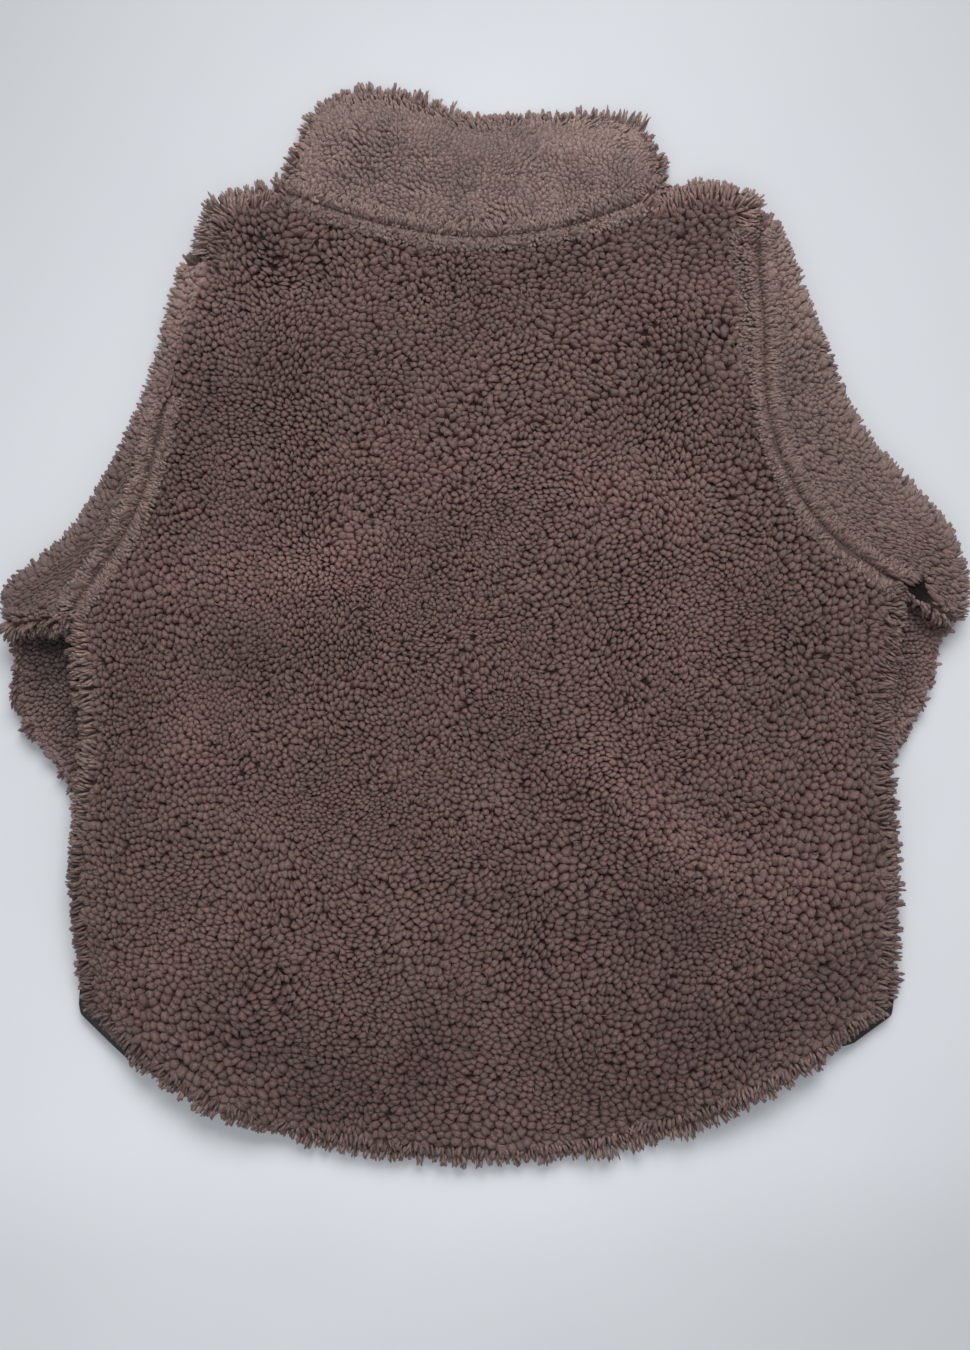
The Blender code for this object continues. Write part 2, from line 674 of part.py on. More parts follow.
def binding(side, colour):
    """A slim bar that follows the body's lower corner, level with the seam of the layers."""
    up = np.linspace(0.45, 0.0, 4)[:-1] / (len(BODY_SIDES) - 1) * 1.0
    share = np.linspace(0.0, 0.085, 6)
    if side == "left":
        a = body_point(np.zeros_like(up), up)
        b = body_point(share, np.zeros_like(share))
    else:
        a = body_point(np.ones_like(up), up)
        b = body_point(1 - share, np.zeros_like(share))
    line = np.vstack([a, b])
    way = np.array([-0.7, -0.7]) if side == "left" else np.array([0.7, -0.7])
    n = normals(line, way)
    for _ in range(2):
        n[1:-1] = (n[:-2] + 2 * n[1:-1] + n[2:]) / 4
    n /= np.linalg.norm(n, axis=1)[:, None]
    taper = np.clip(np.minimum(np.arange(len(line)), np.arange(len(line))[::-1]) / 1.5, 0.35, 1.0)
    inner = line + n * SEAM * 1.3
    outer = line + n * (SEAM * 1.3 + BINDING_WIDE * taper[:, None])
    z = underside(line) + CLOTH + SLIT / 2
    plan = np.stack([inner, (inner + outer) / 2, outer], 1)
    half = np.array([BINDING_THICK, BINDING_THICK, BINDING_EDGE]) / 2
    low = np.dstack([plan, z[:, None] - half])
    high = np.dstack([plan, z[:, None] + half])
    return add_object(f"hem_binding_{side}", *wall(low, high), colour, 0.4)


main()
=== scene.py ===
"""Looks of the high-pile fleece jacket: its knit layers, its locks of pile, seams, binding and zip.

Sizes are in millimetres in the jacket's own plan (X to the right, Y to the collar), and become
metres in the row frame in new_mesh().
"""

import json
import math

import bpy
import numpy as np
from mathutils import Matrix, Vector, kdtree

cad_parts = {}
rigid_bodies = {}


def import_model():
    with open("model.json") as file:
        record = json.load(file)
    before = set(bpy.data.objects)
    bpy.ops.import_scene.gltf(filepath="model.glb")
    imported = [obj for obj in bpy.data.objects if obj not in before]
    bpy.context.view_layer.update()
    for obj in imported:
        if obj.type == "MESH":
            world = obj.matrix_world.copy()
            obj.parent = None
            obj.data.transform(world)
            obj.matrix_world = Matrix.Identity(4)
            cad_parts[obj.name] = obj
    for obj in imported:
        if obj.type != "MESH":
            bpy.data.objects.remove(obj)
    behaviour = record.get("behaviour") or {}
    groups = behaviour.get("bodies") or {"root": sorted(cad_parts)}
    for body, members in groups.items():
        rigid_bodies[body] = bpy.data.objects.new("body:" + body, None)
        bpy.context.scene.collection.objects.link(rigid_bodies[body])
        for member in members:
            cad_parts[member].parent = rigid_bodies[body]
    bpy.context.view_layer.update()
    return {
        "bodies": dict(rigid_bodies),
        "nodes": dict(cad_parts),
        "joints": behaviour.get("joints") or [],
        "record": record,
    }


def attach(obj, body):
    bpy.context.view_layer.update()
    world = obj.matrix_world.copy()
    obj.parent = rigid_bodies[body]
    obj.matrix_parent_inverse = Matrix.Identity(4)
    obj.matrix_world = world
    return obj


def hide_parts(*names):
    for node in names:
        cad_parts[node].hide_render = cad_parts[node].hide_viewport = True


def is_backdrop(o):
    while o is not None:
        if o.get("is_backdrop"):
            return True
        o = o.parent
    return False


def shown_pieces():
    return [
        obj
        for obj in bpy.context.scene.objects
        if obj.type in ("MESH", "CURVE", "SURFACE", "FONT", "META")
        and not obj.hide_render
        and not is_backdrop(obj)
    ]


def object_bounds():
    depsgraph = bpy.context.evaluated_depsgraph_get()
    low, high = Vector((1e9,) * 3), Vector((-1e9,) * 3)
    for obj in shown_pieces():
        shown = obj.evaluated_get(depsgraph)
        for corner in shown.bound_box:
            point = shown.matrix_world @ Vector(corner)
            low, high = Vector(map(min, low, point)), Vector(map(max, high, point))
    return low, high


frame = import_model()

# ---------------------------------------------------------------- sizes shared with the solids
SHIFT = np.array([0.1015, -0.4925, 0.0])  # from the plan below to the middle of the footprint
CLOTH = 6.0
SLIT = 0.5
SLEEVE_PAIR = 2 * CLOTH + SLIT
UNDER_BODY = SLEEVE_PAIR + SLIT
FOLD_R = (SLEEVE_PAIR + SLIT) / 2
FOLD_OUT = FOLD_R + SLEEVE_PAIR / 2
DRAPE_START = 26.0
DRAPE_FALL = 56.0
COLLAR_SAG_START = 0.55
ZIP_HALF = 4.2
BINDING_WIDE = 6.0

BODY_SIDES = [
    # place, left x, left y, right x, right y
    ("hem corner", -272, -264, 275, -265),
    ("vent", -277, -225, 279, -225),
    ("hip", -281, -174, 280, -174),
    ("waist", -277, -119, 276, -119),
    ("under the arm", -272, -75, 274, -75),
    ("armpit", -280, 3, 285, 24),
    ("armhole bottom", -266, 30, 268, 37),
    ("armhole low", -249, 54, 241, 56),
    ("armhole middle", -233, 86, 215, 87),
    ("shoulder blade", -222, 125, 198, 125),
    ("armhole chest", -213, 163, 191, 163),
    ("armhole upper", -201, 204, 190, 207),
    ("armhole cap", -188, 241, 186, 251),
    ("shoulder point", -187, 281, 186, 288),
]
ARMPIT, SHOULDER = 5, 13
SLEEVE_TOP = {"left": 12.1, "right": 12.4}

HEM = [
    # place, x, y
    ("corner left", -272, -264),
    ("vent left", -249, -285),
    ("tail start left", -220, -308),
    ("tail left", -173, -333),
    ("tail quarter left", -118, -351),
    ("tail low left", -57, -362),
    ("tail middle", 4, -365),
    ("tail low right", 65, -360),
    ("tail quarter right", 126, -344),
    ("tail right", 181, -322),
    ("tail start right", 223, -299),
    ("vent right", 253, -280),
    ("corner right", 275, -265),
]

TOP = [
    # place, x, y
    ("shoulder point left", -187, 281),
    ("shoulder left", -171, 294),
    ("neck left", -144, 297),
    ("neck side left", -105, 286),
    ("neck low left", -57, 272.5),
    ("neck middle", -3, 266.5),
    ("neck low right", 52, 273),
    ("neck side right", 92, 285),
    ("neck right", 123, 296),
    ("shoulder right", 152, 301),
    ("shoulder point right", 186, 288),
]
FRONT_NECK_DROP = 40.0

FOLD_EDGE = [
    # place, left x, left y, right x, right y
    ("cap", -206, 247, 199, 277),
    ("cap end", -214, 219, 208, 256),
    ("upper", -222, 186, 218, 229),
    ("upper middle", -232, 155, 233, 190),
    ("middle", -248, 120, 245, 158),
    ("lower middle", -265, 89, 264, 126),
    ("lower", -283, 63, 292, 95),
    ("corner start", -304, 44, 321, 59),
    ("corner turn", -321, 31, 329, 31),
    ("corner", -328, 17, 329, 14),
    ("underarm fold", -328, 1, 324, 2),
]

SLEEVE_SECTIONS = {
    "left": [
        # place, overarm x, overarm y, underarm x, underarm y
        ("upper arm", -186, 150, -323, -50),
        ("above the elbow", -168, 48, -293, -99),
        ("elbow", -152, -42, -262, -145),
        ("forearm", -124, -145, -222, -206),
        ("wrist", -100, -204, -196, -256),
        ("cuff", -80, -256, -178, -296),
    ],
    "right": [
        # place, overarm x, overarm y, underarm x, underarm y
        ("upper arm", 178, 150, 309, -38),
        ("above the elbow", 162, 48, 284, -85),
        ("elbow", 145, -42, 259, -132),
        ("forearm", 120, -140, 222, -200),
        ("wrist", 98, -198, 196, -248),
        ("cuff", 80, -248, 178, -286),
    ],
}

COLLAR_SIDES = [
    # place, left x, left y, right x, right y
    ("seam", -145, 297, 124, 295),
    ("low", -137, 308, 125, 308),
    ("middle", -127, 331, 120, 322),
    ("top corner", -117, 349, 112, 333),
]
COLLAR_TOP = [
    # place, share across, y at the back, y at the front
    ("corner left", 0.00, 349, 349),
    ("lobe left", 0.08, 362, 334),
    ("lobe crown", 0.18, 366, 318),
    ("lobe end", 0.30, 360, 304),
    ("dip", 0.47, 349, 294),
    ("level", 0.62, 350, 296),
    ("lobe right", 0.80, 350, 306),
    ("round right", 0.92, 344, 320),
    ("corner right", 1.00, 333, 333),
]

SOFT_FOLDS = [
    # place, x, y, turn in degrees, half length, half width, height
    ("below the right blade", 82, 52, 8, 80, 42, 2.6),
    ("left ribs", -132, 8, 8, 85, 36, 2.4),
    ("right hip", 118, -158, -34, 115, 40, 3.6),
    ("left hip", -170, -190, 20, 70, 38, 2.6),
]

# ---------------------------------------------------------------- sizes of the looks
KNIT = 3.4  # height of the knit and the pile's matted foot over the underside of their layer
KNIT_THICK = 1.3
EDGE_TURN = 8.0  # the knit turns down over this distance at a folded or hemmed edge
GROOVE_DEEP, GROOVE_HALF = 1.7, 1.2  # the seam's groove
RIDGE_HIGH, RIDGE_AWAY, RIDGE_HALF = 1.5, 5.0, 4.2  # and the ridge beside it
BURIED_FROM, BURIED_OVER = 118.0, 60.0  # the left armhole's seam sinks in the pile above this

# Low swells that the light shows on the back.
SWELLS = [
    # place, x, y, turn in degrees, half length, half width, height
    ("left chest", -138, 44, 3, 110, 34, 2.6),
    ("left blade", -71, 117, 10, 55, 30, 1.8),
    ("right blade", 86, 92, 4, 60, 32, 2.2),
    ("right flank", 96, -118, -42, 125, 34, 3.0),
    ("right flank end", 186, -178, -25, 70, 30, 2.2),
    ("left flank", -193, -80, 30, 45, 28, 1.8),
    ("left hip", -180, -222, 12, 60, 30, 2.0),
    ("small of the back", -23, -112, -8, 60, 28, 1.6),
    ("right shoulder", 120, 216, -18, 60, 34, 2.0),
    ("left shoulder", -130, 214, 20, 55, 34, 1.8),
    ("crease in from the left side", -247, -75, 86, 105, 10, -3.0),
    ("roll of the left side", -264, -80, 87, 110, 9, 1.6),
    ("crease in from the right side", 247, -60, 95, 80, 9, -1.6),
    ("crease off the left armhole", -196, 60, 52, 60, 8, -1.6),
    ("crease off the right armhole", 196, 40, -50, 55, 8, -1.6),
    ("crease under the left shoulder", -160, 228, -14, 32, 5, -1.8),
]

# Painted light and shade: the tone of the cloth over large areas, lighter where the back's broad slopes and the pile's
# lay catch the light, darker where they turn away from it.
LIT_AND_SHADED_PATCHES = [
    # place, x, y, turn in degrees, half long, half wide, tone
    ("chest", -141, 36, 5, 62, 19, 0.78),
    ("chest, inner end", -92, 56, 40, 34, 16, 0.28),
    ("left blade", -76, 120, 10, 46, 24, 0.14),
    ("right blade", 78, 98, -6, 92, 28, 0.44),
    ("right of the middle", 130, 40, 70, 60, 40, 0.30),
    ("spine, high", -6, 180, 80, 60, 50, 0.08),
    ("neck", 150, 222, 10, 26, 12, 0.16),
    ("left side, light spot", -197, -84, 84, 34, 15, 0.38),
    ("small of the back", -23, -122, -20, 44, 26, 0.16),
    ("right flank, start", 84, -98, -50, 46, 17, 0.34),
    ("right flank", 140, -152, -36, 50, 18, 0.52),
    ("right flank, end", 204, -164, 4, 34, 16, 0.36),
    ("left hip", -186, -212, 20, 40, 24, 0.30),
    ("right hip, light spot", 171, -226, 30, 22, 14, 0.30),
    ("tail, middle", -3, -280, 90, 50, 40, 0.06),
    ("left blade edge", -200, 126, 70, 56, 20, -0.30),
    ("left shoulder", -146, 262, -14, 60, 20, -0.34),
    ("below the left shoulder", -140, 176, 10, 60, 22, -0.12),
    ("under the collar, right", 76, 258, 14, 60, 14, -0.22),
    ("right shoulder", 158, 262, -4, 36, 18, -0.40),
    ("above the right blade", 122, 168, 24, 52, 24, -0.20),
    ("right armhole", 172, 104, 80, 46, 22, -0.18),
    ("left ribs", -136, -24, -2, 78, 17, -0.24),
    ("left side", -238, -70, 88, 90, 20, -0.30),
    ("under the right arm", 222, -14, 60, 50, 26, -0.26),
    ("right side", 262, -130, 90, 120, 18, -0.28),
    ("below the right flank", 112, -206, -10, 70, 28, -0.48),
    ("right vent", 240, -230, 30, 46, 26, -0.44),
    ("tail", 0, -300, 0, 230, 70, -0.29),
    ("tail, left", -138, -288, -12, 66, 22, -0.32),
    ("tail, right", 158, -280, 12, 60, 24, -0.38),
    ("tail, beside the middle, left", -72, -302, 0, 40, 20, 0.26),
    ("tail, beside the middle, right", 88, -300, 0, 40, 20, 0.26),
]

# The small hollows where sleeve and body part under the arms, dark with painted shade.
HOLLOWS = [
    # place, x, y, half long, half wide, turn in degrees
    ("left", -291, -12, 15, 4.8, 4),
    ("right", 295, 25.5, 11, 6.6, -40),
]


# ---------------------------------------------------------------- curves and heights
def column(table, k):
    return np.array([row[k] for row in table], float)


def through(xs, ys, x):
    """A smooth curve through the points that never swings past them."""
    xs, ys = np.asarray(xs, float), np.asarray(ys, float)
    x = np.clip(np.asarray(x, float), xs[0], xs[-1])
    step = np.diff(xs)
    slope = np.diff(ys) / step
    tangent = np.zeros_like(ys)
    for i in range(1, len(xs) - 1):
        if slope[i - 1] * slope[i] > 0:
            a, b = 2 * step[i] + step[i - 1], step[i] + 2 * step[i - 1]
            tangent[i] = (a + b) / (a / slope[i - 1] + b / slope[i])
    tangent[0], tangent[-1] = slope[0], slope[-1]
    k = np.clip(np.searchsorted(xs, x, side="right") - 1, 0, len(xs) - 2)
    t = (x - xs[k]) / step[k]
    return (
        ys[k] * (1 + 2 * t) * (1 - t) ** 2
        + tangent[k] * step[k] * t * (1 - t) ** 2
        + ys[k + 1] * t * t * (3 - 2 * t)
        + tangent[k + 1] * step[k] * t * t * (t - 1)
    )


def ease(t):
    t = np.clip(t, 0.0, 1.0)
    return t * t * (3 - 2 * t)


def unit(v):
    return v / np.maximum(np.linalg.norm(v, axis=-1, keepdims=True), 1e-9)


def noise(x, y, cell, seed):
    """Smooth noise from -1 to 1, its features about one cell wide."""
    table = np.random.default_rng(seed).uniform(-1, 1, (64, 64))
    u, v = np.asarray(x) / cell + 31.7, np.asarray(y) / cell + 17.3
    i, j = np.floor(u).astype(int), np.floor(v).astype(int)
    a, b = ease(u - i), ease(v - j)
    i, j = i % 64, j % 64
    i1, j1 = (i + 1) % 64, (j + 1) % 64
    low = table[i, j] * (1 - a) + table[i1, j] * a
    high = table[i, j1] * (1 - a) + table[i1, j1] * a
    return low * (1 - b) + high * b


def body_side(place, side):
    k = 1 if side == "left" else 3
    rows = np.arange(len(BODY_SIDES))
    x = through(rows, column(BODY_SIDES, k), place)
    return np.stack([x, through(rows, column(BODY_SIDES, k + 1), place)], -1)


def edge_across(table, share):
    x = column(table, 1)
    at = x[0] + (x[-1] - x[0]) * np.asarray(share, float)
    return np.stack([at, through(x, column(table, 2), at)], -1)


def body_point(across, up):
    """The flat plan of the body: across and up run from 0 to 1."""
    across, up = np.broadcast_arrays(np.asarray(across, float), np.asarray(up, float))
    place = up * (len(BODY_SIDES) - 1)
    left, right = body_side(place, "left"), body_side(place, "right")
    low, high = edge_across(HEM, across), edge_across(TOP, across)
    a, u = across[..., None], up[..., None]
    c00, c10 = edge_across(HEM, 0.0), edge_across(HEM, 1.0)
    c01, c11 = edge_across(TOP, 0.0), edge_across(TOP, 1.0)
    corners = (1 - u) * ((1 - a) * c00 + a * c10) + u * ((1 - a) * c01 + a * c11)
    return (1 - u) * low + u * high + (1 - a) * left + a * right - corners


def front_point(across, up):
    """The fronts follow the body's plan, with a lower neckline in the middle."""
    p = body_point(across, up)
    neck = np.clip(1 - ((np.asarray(across) - 0.5) / 0.36) ** 2, 0, 1) ** 1.5
    lower = FRONT_NECK_DROP * neck * ease((np.asarray(up) - 0.80) / 0.20)
    p = p.copy()
    p[..., 1] -= lower
    return p


def evenly(points, count):
    """The same line, in the plan or in space, with count points evenly spaced along it."""
    points = np.asarray(points, float)
    run = np.r_[0, np.cumsum(np.linalg.norm(np.diff(points, axis=0), axis=1))]
    at = np.linspace(0, run[-1], count)
    return np.stack([np.interp(at, run, points[:, i]) for i in range(points.shape[1])], -1)


def length_of(line):
    return float(np.linalg.norm(np.diff(line, axis=0), axis=1).sum())


def normals(line, outward):
    """Unit normals of a flat line, on the side where outward points."""
    t = np.gradient(line, axis=0)
    n = unit(np.stack([t[:, 1], -t[:, 0]], -1))
    return n * np.sign((n * outward).sum(1))[:, None]


def fold_line(side, across):
    """The axis of a sleeve's fold and its outward normals, from armhole top to underarm."""
    k = 1 if side == "left" else 3
    rows = np.arange(len(FOLD_EDGE))
    fine = np.linspace(0, len(rows) - 1, 121)
    edge = np.stack([through(rows, column(FOLD_EDGE, i), fine) for i in (k, k + 1)], -1)
    edge = evenly(edge, 121)
    way = np.array([-1.0, 0.35]) if side == "left" else np.array([1.0, 0.35])
    n = normals(edge, way)
    for _ in range(60):  # evens the turn at the underarm corner
        n[1:-1] = (n[:-2] + 2 * n[1:-1] + n[2:]) / 4
        n = unit(n)
    at = np.linspace(0, 1, 121)
    edge = np.stack([np.interp(across, at, edge[:, i]) for i in range(2)], -1)
    n = unit(np.stack([np.interp(across, at, n[:, i]) for i in range(2)], -1))
    return edge - n * FOLD_OUT, n


def armhole_line(side, across):
    """The armhole seam from the top of the sleeve to the armpit."""
    places = np.linspace(SLEEVE_TOP[side], ARMPIT + 0.02, 240)
    line = evenly(body_side(places, side), 240)
    at = np.linspace(0, 1, 240)
    return np.stack([np.interp(across, at, line[:, i]) for i in range(2)], -1)


def sleeve_plan(side, across):
    """Rings of the folded-under sleeve in plan: lines from overarm to underarm."""
    ends, _ = fold_line(side, np.array([0.0, 1.0]))
    axis, _ = fold_line(side, across)
    table = SLEEVE_SECTIONS[side]
    inset = SLEEVE_PAIR / 2
    over = np.stack([column(table, 1), column(table, 2)], -1)
    under = np.stack([column(table, 3), column(table, 4)], -1)
    along = unit(under - over)
    over = np.vstack([ends[0], over + along * inset])
    under = np.vstack([ends[1], under - along * inset])
    rows = np.arange(len(table) + 1)
    share = np.asarray(across)[:, None]
    bow = axis - (ends[0] + (ends[1] - ends[0]) * share)
    rings = []
    for s in np.arange(1, len(table) * 2 + 1) / 2:
        a = np.array([through(rows, over[:, i], s) for i in range(2)])
        b = np.array([through(rows, under[:, i], s) for i in range(2)])
        rings.append(a + (b - a) * share + bow * max(0.0, 1 - s / 2.0) ** 2)
    return rings


def sleeve_outline(side):
    """The plan outline of everything that the sleeve lays under the body."""
    across = np.linspace(0, 1, 25)
    axis, n = fold_line(side, across)
    inset = SLEEVE_PAIR / 2
    over, under = [], []
    for ring in sleeve_plan(side, across):
        d = unit(ring[-1] - ring[0])
        over.append(ring[0] - d * inset)
        under.append(ring[-1] + d * inset)
    return np.vstack([axis + n * FOLD_OUT, under, over[::-1]])


def distance_line(points, line):
    """How far each plan point lies from an open line."""
    flat = points.reshape(-1, 2)
    a, ab = line[:-1], np.diff(line, axis=0)
    size = np.maximum((ab**2).sum(-1), 1e-9)
    found = np.empty(len(flat))
    for start in range(0, len(flat), 4000):
        p = flat[start : start + 4000, None]
        t = np.clip(((p - a) * ab).sum(-1) / size, 0, 1)
        found[start : start + 4000] = np.linalg.norm(p - (a + ab * t[..., None]), axis=-1).min(1)
    return found.reshape(points.shape[:-1])


def is_inside(points, outline):
    flat = points.reshape(-1, 2)
    a, b = outline, np.roll(outline, -1, axis=0)
    rise = np.where(b[:, 1] == a[:, 1], 1e-9, b[:, 1] - a[:, 1])
    found = np.empty(len(flat), bool)
    for start in range(0, len(flat), 4000):
        x, y = flat[start : start + 4000, 0:1], flat[start : start + 4000, 1:2]
        crosses = (a[:, 1] > y) != (b[:, 1] > y)
        at = a[:, 0] + (y - a[:, 1]) * (b[:, 0] - a[:, 0]) / rise
        found[start : start + 4000] = (crosses & (x < at)).sum(1) % 2 == 1
    return found.reshape(points.shape[:-1])


def distance_outside(points, outline):
    """How far each point lies outside a closed outline, and 0 inside it."""
    near = distance_line(points, np.vstack([outline, outline[:1]]))
    return np.where(is_inside(points, outline), 0.0, near)


OUTLINES = {side: sleeve_outline(side) for side in ("left", "right")}


def bumps(points, table):
    """The sum of a table's long low swells at each plan point."""
    high = np.zeros(points.shape[:-1])
    for _, x, y, turn, half_long, half_wide, height in table:
        c, s = math.cos(math.radians(turn)), math.sin(math.radians(turn))
        dx, dy = points[..., 0] - x, points[..., 1] - y
        along, off = (dx * c + dy * s) / half_long, (dy * c - dx * s) / half_wide
        high += height * np.clip(1 - along**2, 0, 1) ** 2 * np.clip(1 - off**2, 0, 1) ** 2
    return high


def underside_exact(points):
    away = np.minimum(*(distance_outside(points, o) for o in OUTLINES.values()))
    return UNDER_BODY * (1 - ease((away - DRAPE_START) / DRAPE_FALL)) + bumps(points, SOFT_FOLDS)


# The height under the body is worked out once on a 6 mm grid, and read from it between.
FIELD_STEP = 6.0
field_x = np.arange(-360, 361, FIELD_STEP)
field_y = np.arange(-400, 401, FIELD_STEP)
FIELD = underside_exact(np.stack(np.meshgrid(field_x, field_y), -1))


def underside(points):
    u = np.clip((points[..., 0] - field_x[0]) / FIELD_STEP, 0, len(field_x) - 1.001)
    v = np.clip((points[..., 1] - field_y[0]) / FIELD_STEP, 0, len(field_y) - 1.001)
    i, j = np.floor(u).astype(int), np.floor(v).astype(int)
    a, b = u - i, v - j
    low = FIELD[j, i] * (1 - a) + FIELD[j, i + 1] * a
    high = FIELD[j + 1, i] * (1 - a) + FIELD[j + 1, i + 1] * a
    return low * (1 - b) + high * b


# The body's outline, by the kind of edge that it is.
line_hem = edge_across(HEM, np.linspace(0, 1, 150))
line_top = edge_across(TOP, np.linspace(0, 1, 150))
line_side = {s: body_side(np.linspace(0, ARMPIT, 70), s) for s in ("left", "right")}
line_arm = {s: body_side(np.linspace(ARMPIT, SLEEVE_TOP[s], 110), s) for s in ("left", "right")}
line_tip = {s: body_side(np.linspace(SLEEVE_TOP[s], SHOULDER, 12), s) for s in ("left", "right")}
line_neck = line_top[(line_top[:, 0] > -145) & (line_top[:, 0] < 124)]
line_shoulder = {"left": line_top[line_top[:, 0] < -143], "right": line_top[line_top[:, 0] > 122]}
BODY_OUTLINE = np.vstack(
    [
        line_hem,
        line_side["right"][1:],
        line_arm["right"][1:],
        line_tip["right"][1:],
        line_top[::-1][1:],
        line_tip["left"][::-1][1:],
        line_arm["left"][::-1][1:],
        line_side["left"][::-1][1:-1],
    ]
)
FREE_LINES = [line_hem]
for s in ("left", "right"):
    FREE_LINES += [line_side[s], line_tip[s], line_shoulder[s]]
SEAM_LINES = [line_arm["left"], line_arm["right"], line_neck]


def edge_distances(points):
    free = np.min([distance_line(points, line) for line in FREE_LINES], axis=0)
    seam = np.min([distance_line(points, line) for line in SEAM_LINES], axis=0)
    return free, seam


def seam_weight(points):
    """How plainly the seams show at each plan point: less where the left one is buried."""
    hidden = ease((points[..., 1] - BURIED_FROM) / BURIED_OVER) * (points[..., 0] < -150)
    neck = ease((points[..., 1] - 250) / 12) * (np.abs(points[..., 0] + 10) < 140)
    return 1 - 0.88 * hidden - 0.30 * neck


def seam_relief(away):
    ridge = RIDGE_HIGH * np.exp(-(((away - RIDGE_AWAY) / RIDGE_HALF) ** 2))
    return ridge - GROOVE_DEEP * np.exp(-((away / GROOVE_HALF) ** 2))


def hollow_shade(points):
    """How strongly painted shade darkens the cloth and the pile round the hollows under the arms: 1 at the hollows,
    falling to 0 some way out from them.
    """
    near = np.zeros(points.shape[:-1])
    for _, x, y, half_long, half_wide, turn in HOLLOWS:
        c, s = math.cos(math.radians(turn)), math.sin(math.radians(turn))
        dx, dy = points[..., 0] - x, points[..., 1] - y
        r = ((dx * c + dy * s) / (half_long + 9)) ** 2 + ((dy * c - dx * s) / (half_wide + 9)) ** 2
        near = np.maximum(near, np.clip(1.15 - r, 0, 1))
    return near


def in_hollow(points):
    """1 in the middle of a hollow under the arm, falling to 0 at its rim and outside."""
    deep = np.zeros(points.shape[:-1])
    for _, x, y, half_long, half_wide, turn in HOLLOWS:
        c, s = math.cos(math.radians(turn)), math.sin(math.radians(turn))
        dx, dy = points[..., 0] - x, points[..., 1] - y
        r = ((dx * c + dy * s) / half_long) ** 2 + ((dy * c - dx * s) / half_wide) ** 2
        deep = np.maximum(deep, np.clip(1 - r, 0, 1))
    return deep


def knit_drop(free):
    """Share of the way that the knit has turned down to the edge's middle."""
    t = np.clip(free / EDGE_TURN, 0, 1)
    return 1 - np.sqrt(np.clip(1 - (1 - t) ** 2, 0, 1))


def back_knit(points, free=None, seam=None):
    """Height of the back's knit, on its pile side."""
    if free is None:
        free, seam = edge_distances(points)
    base = underside(points)
    middle = base + CLOTH + SLIT / 2
    full = base + CLOTH + SLIT + KNIT + bumps(points, SWELLS)
    full = full + seam_relief(seam) * seam_weight(points)
    full = full + 0.9 * noise(points[..., 0], points[..., 1], 46, 11)
    full = full + 0.45 * noise(points[..., 0], points[..., 1], 19, 12)
    high = middle + (full - middle) * (1 - knit_drop(free))
    return high - 7.0 * ease(in_hollow(points) * 1.6)


def front_knit(points, free=None):
    """Height of a front's knit, on its pile side, which faces the table."""
    if free is None:
        free, _ = edge_distances(points)
    base = underside(points)
    middle = base + CLOTH + SLIT / 2
    full = base + CLOTH - KNIT
    return middle - 0.3 + (full - middle + 0.3) * (1 - knit_drop(free))


# ---------------------------------------------------------------- meshes
def new_mesh(name, verts, tris, material, smooth=True, **attributes):
    """A piece that rides on the jacket, from points in millimetres."""
    verts = (np.asarray(verts, float).reshape(-1, 3) + SHIFT) * 0.001
    tris = np.asarray(tris, np.int32).reshape(-1, 3)
    mesh = bpy.data.meshes.new(name)
    mesh.vertices.add(len(verts))
    mesh.vertices.foreach_set("co", verts.astype(np.float32).ravel())
    mesh.loops.add(len(tris) * 3)
    mesh.loops.foreach_set("vertex_index", tris.ravel())
    mesh.polygons.add(len(tris))
    mesh.polygons.foreach_set("loop_start", np.arange(0, len(tris) * 3, 3, dtype=np.int32))
    for key, values in attributes.items():
        values = np.asarray(values, np.float32)
        kind = "FLOAT_VECTOR" if values.ndim == 2 else "FLOAT"
        field = "vector" if values.ndim == 2 else "value"
        mesh.attributes.new(key, kind, "POINT").data.foreach_set(field, values.ravel())
    mesh.update(calc_edges=True)
    mesh.validate()
    if smooth:
        mesh.shade_smooth()
    mesh.materials.append(material)
    ob = bpy.data.objects.new(name, mesh)
    bpy.context.scene.collection.objects.link(ob)
    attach(ob, "root")
    return ob


def wall(low, high):
    """Vertices and triangles of a closed wall between two grids of points."""
    rows, cols = low.shape[:2]
    verts = np.concatenate([low.reshape(-1, 3), high.reshape(-1, 3)])
    n = rows * cols
    r, c = np.meshgrid(np.arange(rows - 1), np.arange(cols - 1), indexing="ij")
    a = (r * cols + c).ravel()
    b, d, e = a + 1, a + cols + 1, a + cols
    top = np.concatenate([np.stack([a, b, d], -1), np.stack([a, d, e], -1)]) + n
    bottom = np.concatenate([np.stack([a, d, b], -1), np.stack([a, e, d], -1)])
    rim = [k for k in range(cols - 1)]
    rim += [k * cols + cols - 1 for k in range(rows - 1)]
    rim += [(rows - 1) * cols + k for k in range(cols - 1, 0, -1)]
    rim += [k * cols for k in range(rows - 1, 0, -1)]
    p = np.array(rim)
    q = np.roll(p, -1)
    side = np.concatenate([np.stack([p, q, q + n], -1), np.stack([p, q + n, p + n], -1)])
    tris = np.concatenate([top, bottom, side])
    corners = verts[tris]
    if np.einsum("ij,ij->i", corners[:, 0], np.cross(corners[:, 1], corners[:, 2])).sum() < 0:
        tris = tris[:, ::-1]
    return verts, tris


LOCK_RINGS = [
    # share along the lock, share of its radius
    (0.30, 1.00),
    (0.80, 0.70),
]
HAIR_RINGS = [
    (0.00, 0.80),
    (0.55, 1.00),
]
TUFT_RINGS = [
    (0.00, 0.85),
    (0.40, 1.00),
    (0.76, 0.82),
    (0.94, 0.46),
]
STRAND_RINGS = [
    (0.00, 0.80),
    (0.50, 1.00),
    (0.88, 0.70),
]
STUB_RINGS = [
    (0.10, 0.95),
    (0.72, 0.90),
]


